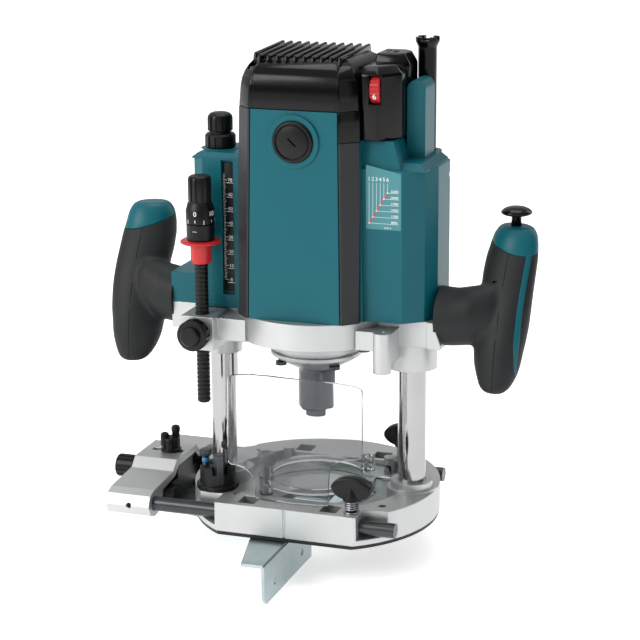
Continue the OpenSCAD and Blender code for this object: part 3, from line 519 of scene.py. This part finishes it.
grip = {"stripCuts": [((131, 0, 150), (0.3, -1, 0.55), True), ((142.4, 0, 136), (1, 0, -0.02), True),
                      ((142.4, 0, 136), (1, 0, 0.055), True), ((145.5, 0, 150), (1, 0, -0.015), False),
                      ((145.5, 0, 136), (1, 0, -0.08), False), ((0, 0, 114.5), (0, 0, 1), True)],
        "long": 18.4, "thin": 14.4, "turn": -30, "seam": 0.45, "voxel": 1.25, "blend": 14,
        "axis": [(129.2, -20.5, 101.8, 0.30), (129.3, -19.5, 103, 0.48), (129.4, -17.8, 106, 0.64),
                 (129.5, -15.1, 110, 0.76), (129.5, -13, 115, 0.87), (129.5, -11.6, 120, 0.94),
                 (129.6, -9.4, 127, 0.99), (130.4, -6.6, 136, 1.03), (131.2, -3, 146, 1.04),
                 (131.5, 0.8, 156, 1.04), (131.3, 6, 166, 1.05), (131, 12, 175, 1.06), (131.2, 18, 184, 1.04),
                 (131.6, 22.6, 192, 0.97), (132, 25, 199, 0.88), (132.2, 25.8, 203.5, 0.72),
                 (132.2, 25.8, 205, 0.58)]}



def gripSolid(settings):
    body = ringBody("gripShape", [(x, y, z, s * settings["long"], s * settings["thin"], settings["turn"])
                                  for x, y, z, s in settings["axis"]], 32)
    arm = ringBody("armShape", [(0, 0, 84, 20.5, 19.5, 0), (0, 0, 100, 19.5, 19, 0), (-2, 0, 112, 20, 18, 0),
                                (-4, 2, 124, 20, 15, 0), (-5, 2, 130, 16, 11, 0)], 32)
    settle(arm, (0, -4, 147), (0, 90, 0))
    whole = joinAll([body, arm], "gripShape")
    addModifier(whole, "REMESH", mode="VOXEL", voxel_size=settings["voxel"] * mm)
    addModifier(whole, "SMOOTH", factor=0.5, iterations=settings["blend"])
    return whole


def buildGrips(settings):
    whole = gripSolid(settings)
    capPlane = ((132, 10, 190.3), (0.15, -0.20, 0.96))
    for side, flip, cut in (("right", 1, 88.6), ("left", -1, 98.6)):
        body = copyOf(whole, side + "GripRubber")
        sliceOff(body, (cut, 0, 0), (1, 0, 0), True)
        sliceOff(body, *capPlane, False)
        scoreLine(body, (130.8, 0, 150), (1, 0, -0.02), settings["seam"], 0.5,
                  lambda v: abs(v.y + 2) > 13 or v.z > 170 or v.z < 122)
        cap = copyOf(whole, side + "GripCap")
        sliceOff(cap, (132, 10, 190.65), capPlane[1], True)
        roundEdges(body, 0.5, 2, 50)
        roundEdges(cap, 0.6, 2, 50)
        if flip > 0:
            cutAway(body, boxPiece("cutter", (123.5, 7.6, 146), (138.5, 60, 184)))
            cutAway(body, boxPiece("cutter", (123.5, -4, 146), (138.5, 9, 173)))
            shaft = turned("cutter", [(3.8, 180), (3.8, 260)], 24)
            cutAway(cap, settle(shaft, (132, 25, 0)))
        if flip < 0:
            for piece in (body, cap):
                activate(piece)
                piece.scale = (-1, 1, 1)
                piece.location = (1.5 * mm, 0, 0)
                bpy.ops.object.transform_apply(location=True, rotation=True, scale=True)
                editAll(piece)
                bpy.ops.mesh.normals_make_consistent(inside=False)
        finishPiece(body, gripRubber, "motor_unit", [side + "_grip"], 50)
        finishPiece(cap, tealAbs, "motor_unit", ["grip_caps"], 50)
    strip = copyOf(whole, "rightGripStrip")
    sliceOff(strip, (132, 10, 191), capPlane[1], False)
    for point, normal, upper in settings["stripCuts"]:
        sliceOff(strip, point, normal, upper)
    editAll(strip)
    bpy.ops.transform.shrink_fatten(value=0.35 * mm)
    finishPiece(strip, tealAbs, "motor_unit", (), 50)
    bpy.data.objects.remove(whole)


buildGrips(grip)
print("grips built")

# ---------- knobs that turn about upright axes ----------

heightKnob = {"lower": 10.4, "upper": 8.5, "groove": 0.9}


def buildHeightKnob(settings):
    low, up = settings["lower"], settings["upper"]
    knob = turned("heightKnob", [(low - 0.9, 251.3), (low, 252.1), (low, 259.6), (low - 1.2, 261), (7.4, 261.1),
                                 (7.4, 262.4), (up - 0.6, 262.6), (up, 263.2), (up, 271.4), (up - 0.5, 273),
                                 (up - 1.6, 274.3), (up - 3.4, 275)], 60)
    sinkFlutes(knob, 252, 260.6, 60, 5, 2, settings["groove"])
    sinkFlutes(knob, 263, 272.6, 60, 5, 2, settings["groove"])
    bore(knob, 4.25, 240, 271)
    settle(knob, (-68, 0, 0))
    finishPiece(knob, knobNylon, "height_knob", ["height_knob"])
    collar = turned("heightKnobCollar", [(13.2, 251.0), (12.6, 251.2)], 48)
    bore(collar, 4.6, 240, 260)
    settle(collar, (-68, 0, 0))
    finishPiece(collar, tealAbs, "motor_unit")


nozzleScrew = {"at": (-30.5, -19, 0), "radius": 6.6, "knurl": 0.35}


def buildNozzleScrew(settings):
    r = settings["radius"]
    screw = turned("nozzleThumbScrew", [(2, 14.5), (2, 35.1), (r - 0.7, 35.2), (r, 35.9), (r, 41.8), (r - 1.2, 43.4),
                                        (3.4, 43.5), (2.6, 42.7)], 72)
    sinkFlutes(screw, 35.8, 41.9, 72, 3, 1, settings["knurl"])
    settle(screw, settings["at"])
    finishPiece(screw, greyNylon, "nozzle_screw", ["nozzle_screw"])


clampKnob = {"x": 44.3, "y": 59, "wing": 14, "height": 8, "thick": 8.6}


def buildClampKnobs(settings):
    for side, sign in (("front", -1), ("rear", 1)):
        hub = turned("clampHub", [(3, 21.8), (3, 30.6), (6.2, 31), (6.2, 31.8), (5.4, 34.6), (4.3, 38), (3.6, 40)], 40)
        half = settings["thick"] / 2
        wing = turned("clampWing", [(settings["wing"] - 1.8, -half), (settings["wing"] - 0.6, -half + 0.5),
                                    (settings["wing"], -half + 1.6), (settings["wing"], half - 1.6),
                                    (settings["wing"] - 0.6, half - 0.5), (settings["wing"] - 1.8, half)], 48)
        wing.scale = (1, settings["height"] / settings["wing"], 1)
        bpy.ops.object.transform_apply(location=True, rotation=True, scale=True)
        settle(wing, (0, 0.8, 39), (90, 0, 0))
        knob = joinAll([hub, wing], side + "ClampKnob")
        settle(knob, (settings["x"], sign * settings["y"], 0))
        finishPiece(knob, knobNylon, "clamp_" + side, ["clamp_knob_" + side])
        spring = wound(side + "ClampSpring", 4.5, 0.55, 24.1, 30.2, 4)
        settle(spring, (settings["x"], sign * settings["y"], 0))
        washer = turned("clampWasher", [(5.6, 22.8), (5.6, 23.5)], 32)
        bore(washer, 3.6, 20, 30)
        settle(washer, (settings["x"], sign * settings["y"], 0))
        finishPiece(joinAll([spring, washer], side + "ClampSpring"), brightSteel, "base",
                    ["clamp_springs"])


lockButton = {"at": (132, 25, 0), "radius": 10.5}


def buildLockButton(settings):
    r = settings["radius"]
    button = turned("lockOffButton", [(3.4, 191), (3.4, 210.8), (4.4, 212.2), (r - 1.2, 212.6), (r - 0.2, 213.3),
                                      (r, 214), (r - 0.5, 214.9), (r - 2, 216.2), (r - 4.5, 217.3), (3, 217.9),
                                      (1, 218)], 48)
    settle(button, settings["at"])
    finishPiece(button, glossAbs, "lock_button", ["lock_button"], 50)


depthStop = {"at": (-67.5, -40, 0), "pole": 4.5, "notch": 3.0, "notchDepth": 0.45, "ring": 9.6, "grip": 7.8}


def onRing(words, height, radius, z, azimuth):
    return printText(words, height, (-67.5 + radius * math.sin(math.radians(azimuth)),
                                     -40 - radius * math.cos(math.radians(azimuth)), z), (0, 0, azimuth))


def buildDepthStop(settings):
    steps = [(3.6, 83), (settings["pole"], 84)]
    z = 86.0
    while z < 180:
        steps += [(settings["pole"], z), (settings["pole"] - settings["notchDepth"], z + 0.35),
                  (settings["pole"] - settings["notchDepth"], z + 1.0), (settings["pole"], z + 1.35)]
        z += settings["notch"]
    steps += [(settings["pole"], 195.8), (9, 196), (9.4, 196.4), (9.4, 206.6), (9, 207), (3, 207), (3, 233)]
    pole = turned("stopperPole", steps, 32)
    settle(pole, settings["at"])
    finishPiece(pole, knobNylon, "pole", ["stopper_pole"])
    pointer = turned("depthPointer", [(6.2, 180), (7, 181.4), (7, 193.3), (12.8, 193.6), (13.6, 194), (13.7, 194.6),
                                      (13.5, 195.3), (12.9, 195.7)], 56)
    bore(pointer, 4.85, 170, 200)
    settle(pointer, settings["at"])
    finishPiece(pointer, redAcetal, "pointer", ["depth_pointer"])
    ring, gripR = settings["ring"], settings["grip"]
    knob = turned("depthKnob", [(ring - 0.4, 207.3), (ring, 207.7), (ring, 216.9), (ring - 0.4, 217.6),
                                (gripR + 0.6, 221), (gripR - 0.2, 221.9), (gripR, 222.4), (gripR, 237),
                                (gripR - 0.5, 238.4), (gripR - 1.6, 239.2)], 60)
    sinkFlutes(knob, 222.3, 238, 60, 5, 2, 0.8)
    bore(knob, 3.15, 200, 233.4)
    settle(knob, settings["at"])
    finishPiece(knob, knobNylon, "depth_knob", ["depth_knob"])
    marks = [onRing(str(i * 10), 3.2, ring, 213.2, i * 72) for i in range(5)]
    for i in range(10):
        tick = boxPiece("tick", (-0.2, -0.06, -1.5 if i % 2 else -0.7), (0.2, 0.06, 1.1))
        a = math.radians(i * 36)
        marks.append(settle(tick, (-67.5 + ring * math.sin(a), -40 - ring * math.cos(a), 209.5), (0, 0, i * 36)))
    finishPiece(joinAll(marks, "depthKnobMarks"), whiteInk, "depth_knob", (), 20)
    startFresh()
    bpy.ops.mesh.primitive_cone_add(vertices=3, radius1=1.9 * mm, radius2=1.9 * mm, depth=0.12 * mm,
                                    rotation=(math.pi / 2, 0, 0))
    arrow = bpy.context.object
    settle(arrow, (-67.5, -49.42, 203))
    finishPiece(joinAll([arrow], "stopCollarMark"), whiteInk, "pole", (), 20)


# ---------- turret with its three stop screws ----------

turret = {"at": (-58.9, -39.2, 22.7), "flange": 14.5, "body": 12.2, "pitch": 8.7, "head": 4.2}


def buildTurret(settings):
    flange, body = settings["flange"], settings["body"]
    table = turned("turretTable", [(3, -12), (3, 0), (flange - 0.5, 0), (flange, 0.5), (flange, 2.9),
                                   (flange - 0.6, 3.5), (body + 0.3, 3.6), (body, 4), (body, 15.2), (body - 0.8, 16),
                                   (4, 16), (4, 15.2)], 56)
    sinkFlutes(table, 0.4, 3.2, 56, 4, 1, 0.6)
    for angle in (180, 300, 60):
        cutter = turned("cutter", [(5.4, 8 if angle == 60 else 11.5), (5.4, 30)], 24)
        a = math.radians(angle)
        settle(cutter, ((settings["pitch"] + 0.6) * math.cos(a), (settings["pitch"] + 0.6) * math.sin(a), 0))
        cutAway(table, cutter)
        hole = turned("cutter", [(2.75, 3.6), (2.75, 30)], 20)
        settle(hole, (settings["pitch"] * math.cos(a), settings["pitch"] * math.sin(a), 0))
        cutAway(table, hole)
    settle(table, settings["at"])
    finishPiece(table, knobNylon, "turret", ["stopper_turret"])
    screws = []
    for angle, lift in ((180, 0), (300, 0), (60, 4.5)):
        steps = [(2.4, 3.6)]
        z = 4.0
        while z < 21 + lift:
            steps += [(2.5, z), (2.2, z + 0.5)]
            z += 1.0
        steps += [(2.5, 21.5 + lift), (4, 21.7 + lift)]
        shank = turned("stopScrew", steps, 18)
        foot = 4.4 if angle == 300 else 21.6 + lift
        head = turned("stopHead", [(4.1, foot), (4.2, foot + 0.2), (4.2, 25.4 + lift), (3.7, 25.9 + lift)], 6)
        screw = joinAll([shank, head], "stopScrew")
        a = math.radians(angle)
        screws.append(settle(screw, (settings["pitch"] * math.cos(a), settings["pitch"] * math.sin(a), 0)))
    screws = joinAll(screws, "stopScrews")
    settle(screws, settings["at"])
    finishPiece(screws, blackSteel, "turret", ["turret_screws"])
    band = turned("stopScrewPaint", [(2.62, 17), (2.62, 20)], 24)
    bore(band, 2.45, 10, 30)
    settle(band, (settings["pitch"] * math.cos(math.pi), 0, 0))
    settle(band, settings["at"])
    finishPiece(band, markInk, "turret")


# ---------- knobs on level axes ----------

sideKnobs = {"ribs": 0.85}


def buildSideKnobs(settings):
    clamp = turned("poleClampKnob", [(3, 44.9), (3, 53.8), (9.8, 54), (10.6, 54.8), (10.6, 61), (9.7, 62), (6.9, 62.2),
                                     (6.6, 62.8), (6.6, 64.8), (5.8, 65.8), (3, 66)], 70)
    sinkFlutes(clamp, 54.6, 61.6, 70, 5, 2, settings["ribs"])
    settle(clamp, (-67, 0, 134.5), (90, 0, 0))
    finishPiece(clamp, knobNylon, "pole_clamp", ["pole_clamp_knob"])
    fine = turned("fineKnob", [(3, 123), (3, 130.4), (5, 130.6), (5, 136.8), (7.4, 137.1), (8.2, 137.9), (8.2, 150),
                               (7.5, 150.9), (6.2, 151), (5.9, 150.6)], 70)
    sinkFlutes(fine, 137.8, 150.6, 70, 5, 2, settings["ribs"])
    settle(fine, (0, 0, 15.5), (0, -90, 0))
    finishPiece(fine, knobNylon, "fine_knob", ["fine_knob"])


colletNut = {"flats": 24, "low": 74, "high": 103.3}


def buildColletNut(settings):
    r = settings["flats"] / 2 / math.cos(math.radians(30))
    low, high = settings["low"], settings["high"]
    nut = turned("colletNut", [(r - 1.6, low), (r, low + 1.4), (r, high - 4), (r - 1.8, high)], 6)
    settle(nut, (0, 0, 0), (0, 0, 30))
    barrel = turned("cutter", [(12.7, low - 1), (12.7, high + 1)], 64)
    addModifier(nut, "BOOLEAN", operation="INTERSECT", object=barrel, solver="EXACT")
    bpy.data.objects.remove(barrel)
    bore(nut, 7.85, low - 5, low + 7)
    bore(nut, 10.06, low + 3, high + 5)
    finishPiece(nut, nutSteel, "spindle", ["collet_nut"], 30)


wingBolt = {"at": (-110, 0, 0), "radius": 7.2}


def buildWingBolt(settings):
    r = settings["radius"]
    body = turned("wingBoltBody", [(2.5, 5), (2.5, 30.6), (r - 0.5, 30.7), (r, 31.2), (r, 32.4), (r - 0.9, 33),
                                   (r - 0.9, 39.4), (r - 1.6, 40.4), (r - 3, 40.7)], 48)
    sinkFlutes(body, 33.1, 39.6, 48, 8, 2, 0.7)
    ear = ringBody("wingBoltEar", [(0, 0, 34, 2.2, 2.2, 0), (0, 0, 35, 3.2, 3.2, 0), (0, 0, 41.8, 3.2, 3.2, 0),
                                   (0, 0, 43.4, 2.6, 2.6, 0), (0, 0, 44.2, 1.2, 1.2, 0)], 24)
    settle(ear, (-3.9, -1.8, 0))
    stud = turned("wingBoltStud", [(3, 36), (2.7, 43.6), (3.1, 44.4), (3.2, 46.6), (2.7, 48), (1.4, 48.7)], 28)
    settle(stud, (2.5, 3, 0))
    bolt = joinAll([body, ear, stud], "wingBolt")
    settle(bolt, settings["at"])
    finishPiece(bolt, knobNylon, "fence_bolt", ["fence_wing_bolt"])


buildHeightKnob(heightKnob)
buildNozzleScrew(nozzleScrew)
buildClampKnobs(clampKnob)
buildLockButton(lockButton)
buildDepthStop(depthStop)
buildTurret(turret)
buildSideKnobs(sideKnobs)
buildWingBolt(wingBolt)
buildColletNut(colletNut)
print("knobs, stops and springs built")

# ---------- brush caps, dial and printed plates ----------

brushCap = {"radius": 13.7, "height": 266, "slot": (7.4, 1.5)}


def buildBrushCaps(settings):
    r = settings["radius"]
    for side, turn in (("front", 90), ("rear", -90)):
        cap = turned("brushCap", [(r - 0.1, 41), (r, 41.6), (r, 45.9), (r - 0.5, 46.7), (r - 1.3, 47), (r - 1.9, 46.9),
                                  (r - 2.2, 46.2), (r - 2.7, 46.1), (r - 3, 46.8), (r - 3.4, 47), (2, 47)], 64)
        long, wide = settings["slot"]
        slot = boxPiece("cutter", (-long / 2, -wide / 2, 45.6), (long / 2, wide / 2, 50))
        settle(slot, (0, 0, 0), (0, 0, -42))
        cutAway(cap, slot)
        settle(cap, (0, 0, settings["height"]), (turn, 0, 0))
        finishPiece(cap, knobNylon, "motor_unit", ["brush_caps"], 50)
        cap.name = side + "BrushCap"


speedDial = {"at": (50.5, -21, 299.5), "radius": 10.4, "figure": 3.8, "tilt": 22}


def buildSpeedDial(settings):
    r = settings["radius"]
    dial = turned("speedDial", [(r - 0.5, -3.2), (r, -2.7), (r, 2.7), (r - 0.5, 3.2)], 72)
    sinkFlutes(dial, -2.8, 2.8, 72, 3, 1, 0.5)
    bore(dial, 2, -5, 5)
    settle(dial, settings["at"], (0, 90, 0))
    finishPiece(dial, redAcetal, "speed_dial", ["speed_dial"])
    x, y, z = settings["at"]
    a = math.radians(settings["tilt"])
    figure = printText("6", settings["figure"], (0, 0, -settings["figure"] / 2))
    settle(figure, (x, y - (r + 0.05) * math.cos(a), z - (r + 0.05) * math.sin(a)), (settings["tilt"], 0, 0))
    finishPiece(joinAll([figure], "speedDialFigure"), whiteInk, "speed_dial", (), 20)


scaleMarks = {"left": -58.3, "right": -50.2, "face": -22.0, "zero": 165.0, "step": 9.79, "figure": 2.2}


def buildScale(settings):
    plate = boxPiece("depthScalePlate", (settings["left"], settings["face"], 157),
                     (settings["right"], settings["face"] + 1.1, 245))
    roundEdges(plate, 0.3, 2)
    finishPiece(plate, knobNylon, "motor_unit", ["scale_plate"])
    marks = []
    for i in range(8):
        z = settings["zero"] + i * settings["step"]
        marks.append(printText(str(i * 10), settings["figure"], (settings["right"] - 2.7, settings["face"] - 0.03,
                                                                 z - settings["figure"] * 0.5)))
        marks.append(boxPiece("tick", (settings["right"] - 5.4, settings["face"] - 0.08, z - 2.1),
                              (settings["right"] - 0.4, settings["face"], z - 1.8)))
        for part in range(10):
            if i == 7 and part > 4:
                continue
            y = z + part * settings["step"] / 10
            wide = 3.0 if part == 0 else 2.2 if part == 5 else 1.4
            marks.append(boxPiece("tick", (settings["left"] + 0.4, settings["face"] - 0.08, y - 0.11),
                                  (settings["left"] + 0.4 + wide, settings["face"], y + 0.11)))
    finishPiece(joinAll(marks, "depthScaleMarks"), whiteInk, "motor_unit", (), 20)


speedLabel = {"left": 44.8, "right": 68.6, "low": 208.6, "high": 251.0, "face": -30.0}


def buildLabel(settings):
    left, right, low, high, face = (settings[k] for k in ("left", "right", "low", "high", "face"))
    film = boxPiece("speedLabel", (left, face - 0.12, low), (right, face + 0.05, high))
    pickVerts(film, lambda v: v.z > high - 1 and v.x > right - 1)
    bpy.ops.transform.translate(value=(0, 0, -5 * mm))
    activate(film)
    finishPiece(film, labelFilm, "motor_unit")
    top, ink = face - 0.2, face - 0.12
    white, red = [], []
    for i in range(6):
        x = left + 2.2 + i * 2.5
        white.append(printText(str(i + 1), 2.6, (x, top, 240.6)))
        z = 212.6 + i * 4.1
        white.append(boxPiece("line", (x - 0.1, top, z), (x + 0.1, ink, 239.4)))
        white.append(boxPiece("line", (x, top, z - 0.1), (left + 22.2, ink, z + 0.1)))
        white.append(printText(("8000", "11000", "14000", "17000", "20000", "22000")[i], 1.5,
                               (left + 19.4, top, z + 0.45)))
        white.append(boxPiece("dot", (x - 0.4, top - 0.05, z - 0.4), (x + 0.4, ink, z + 0.4)))
        if i < 5:
            for part in (0.2, 0.55):
                red.append(boxPiece("dash", (x + 2.5 * part, top, z + 4.1 * part - 0.45),
                                    (x + 2.5 * (part + 0.28), ink, z + 4.1 * (part + 0.28) + 0.45)))
    white.append(printText("(min )", 1.3, (left + 14.8, top, 209.4)))
    finishPiece(joinAll(white, "speedLabelLines"), whiteInk, "motor_unit", (), 20)
    finishPiece(joinAll(red, "speedLabelCurve"), redInk, "motor_unit", (), 20)


buildBrushCaps(brushCap)
buildSpeedDial(speedDial)
buildScale(scaleMarks)
buildLabel(speedLabel)
print("caps, dial and printed plates built")

# ---------- top cover with its air grille ----------

topCover = {"outline": [(-41.1, -33.6), (-31.3, -43.4), (31.3, -43.4), (41.1, -33.6),
                        (41.1, 33.6), (31.3, 43.4), (-31.3, 43.4), (-41.1, 33.6)],
            "rings": [(286.4, 0, 0), (300, 1.0, 0.7), (304.5, 1.8, 1.5), (309, 3.3, 3.3), (312.5, 5.2, 5.8),
                      (315.2, 7.4, 8.6), (317, 10.2, 11.8), (318, 13.5, 15)],
            "pitch": 6.1, "ribs": 11, "firstRib": -33.4, "ribTop": 321, "screw": (-31, -30.5)}


def buildTopCover(settings):
    rings = settings["rings"]
    cover = outlinePlate("topCover", settings["outline"], rings[0][0], rings[1][0])
    before = (0, 0)
    for (z0, x0, y0), (z1, x1, y1) in zip(rings, rings[1:]):
        pickFaces(cover, lambda c, n: n.z > 0.9)
        if z1 != rings[1][0]:
            bpy.ops.mesh.extrude_region_move(TRANSFORM_OT_translate={"value": (0, 0, (z1 - z0) * mm)})
        bpy.ops.transform.resize(value=((41.1 - x1) / (41.1 - x0), (43.4 - y1) / (43.4 - y0), 1),
                                 center_override=(0, 0, z1 * mm))
    pickFaces(cover, lambda c, n: n.z < -0.9)
    bpy.ops.mesh.inset(thickness=3 * mm)
    bpy.ops.mesh.extrude_region_move(TRANSFORM_OT_translate={"value": (0, 0, 20 * mm)})
    roundEdges(cover, 1.2, 3, 30)
    x0, pitch = settings["firstRib"], settings["pitch"]
    slots = [boxPiece("cutter", (x0 + (i + 0.5) * pitch - 1.3, -28, 314.2),
                      (x0 + (i + 0.5) * pitch + 1.3, 28, 325)) for i in range(1, settings["ribs"] - 1)]
    cutAway(cover, joinAll(slots, "cutter"))
    recess = turned("cutter", [(4.4, 309), (4.4, 330)], 32)
    cutAway(cover, settle(recess, (settings["screw"][0], settings["screw"][1], 0)))
    for x in (-28.4, 28.9):
        scoreLine(cover, (x, -43, 295), (1, 0, 0), 0.5, 0.35, lambda v: v.y < -30 and v.z < 313)
    finishPiece(cover, glossAbs, "motor_unit", ["top_cover"], 40)
    bars = []
    for i in range(settings["ribs"]):
        x = x0 + i * pitch
        front = -24 if i == 0 else -33.5
        bar = boxPiece("grilleRib", (x - 1.75, front, 311.5), (x + 1.75, 33, settings["ribTop"]))
        pickFaces(bar, lambda c, n: n.z > 0.9)
        bpy.ops.transform.resize(value=(0.7, 0.94, 1))
        pickVerts(bar, lambda v: v.z > 318 and v.y < -10)
        bpy.ops.transform.translate(value=(0, 0, -1.2 * mm))
        roundEdges(bar, 0.9, 3)
        bars.append(bar)
    finishPiece(joinAll(bars, "grilleRibs"), glossAbs, "motor_unit", (), 50)
    corner = outlinePlate("coverCorner", [(30.5, -43.9), (31.7, -43.9), (41.9, -33.9), (41.9, -29.8), (41.2, -29.8), (39.4, -32.8),
                                          (30.5, -41.4)], 266.3, 286.4)
    pickFaces(corner, lambda c, n: n.z > 0.9)
    bpy.ops.transform.resize(value=(0.99, 0.99, 1), center_override=(0, 0, 0))
    roundEdges(corner, 0.4, 2)
    finishPiece(corner, glossAbs, "motor_unit")


dialHousing = {"front": [(41.3, -30.3), (53, -30.3), (64.3, -14), (64.3, -0.5), (41.3, -0.5)],
               "rear": [(41.5, -1), (59.5, -1), (64, 4), (64, 23), (59, 28), (41.5, 28)]}


def buildDialHousing(settings):
    front = outlinePlate("dialHousing", settings["front"], 266.3, 309)
    pickFaces(front, lambda c, n: n.z > 0.9)
    bpy.ops.mesh.extrude_region_move(TRANSFORM_OT_translate={"value": (0, 0, 5 * mm)})
    bpy.ops.transform.resize(value=(0.78, 0.84, 1), center_override=(41.5 * mm, -0.5 * mm, 314 * mm))
    roundEdges(front, 1.3, 3, 20)
    rear = outlinePlate("dialHousingRear", settings["rear"], 266.3, 312)
    pickFaces(rear, lambda c, n: n.z > 0.9)
    bpy.ops.mesh.extrude_region_move(TRANSFORM_OT_translate={"value": (0, 0, 7 * mm)})
    bpy.ops.transform.resize(value=(0.84, 0.8, 1), center_override=(41.5 * mm, 13 * mm, 319 * mm))
    roundEdges(rear, 1.3, 3, 20)
    for low, high in (((47, 6, 318.4), (48.2, 18, 330)), ((50.5, 7, 318.4), (55, 8.2, 330)),
                      ((50.5, 10, 318.4), (54, 16, 330))):
        cutAway(rear, boxPiece("cutter", low, high))
    for piece in (front, rear):
        cutAway(piece, boxPiece("cutter", (43.6, -20, 260), (58, 0, 302)))
        cutAway(piece, boxPiece("cutter", (43.6, -2, 260), (60, 22, 309)))
    room = turned("cutter", [(10.9, -3.8), (10.9, 3.8)], 48)
    cutAway(front, settle(room, (50.5, -21, 299.5), (0, 90, 0)))
    cutAway(front, boxPiece("cutter", (46.7, -40, 290.2), (54.3, -21, 308.8)))
    finishPiece(front, glossAbs, "motor_unit", ["dial_cover"], 40)
    finishPiece(rear, glossAbs, "motor_unit", (), 40)


buildTopCover(topCover)
buildDialHousing(dialHousing)
print("top cover and dial housing built")

# ---------- clear chip deflector ----------

deflector = {"bend": 123.5, "front": -57.5, "thick": 2,
             "outline": [(-47.1, 103), (-46.3, 104.9), (-44.2, 106), (-29.3, 109.4), (-14.1, 110.2), (7.9, 110),
                         (24.2, 109), (34.1, 108), (41.8, 106.5), (45.2, 105.2), (47.1, 103.9), (47.6, 102.4),
                         (47.6, 58.7), (47.2, 56.8), (45.1, 55.6), (41, 55.4), (35.4, 54.9), (31.1, 53.8),
                         (28.2, 51.4), (27.1, 47.7), (26.3, 41.5), (25.7, 23), (-25.5, 23), (-26.1, 31),
                         (-27, 37.1), (-30.5, 40.4), (-34.9, 42.7), (-41.4, 43.1), (-45.5, 42.8), (-47.2, 43.6),
                         (-48, 45.3)]}


def buildDeflector(settings):
    screen = outlinePlate("chipDeflector", settings["outline"], 35, 65)
    settle(screen, (0, 0, 0), (90, 0, 0))
    middle = settings["front"] + settings["bend"]
    hoop = turned("cutter", [(settings["bend"], 0), (settings["bend"], 130)], 256)
    bore(hoop, settings["bend"] - settings["thick"], -5, 140)
    settle(hoop, (0, middle, 0))
    addModifier(screen, "BOOLEAN", operation="INTERSECT", object=hoop, solver="EXACT")
    bpy.data.objects.remove(hoop)
    finishPiece(screen, screenAcrylic, "base", ["chip_deflector"], 30)


buildDeflector(deflector)
print("chip deflector built")
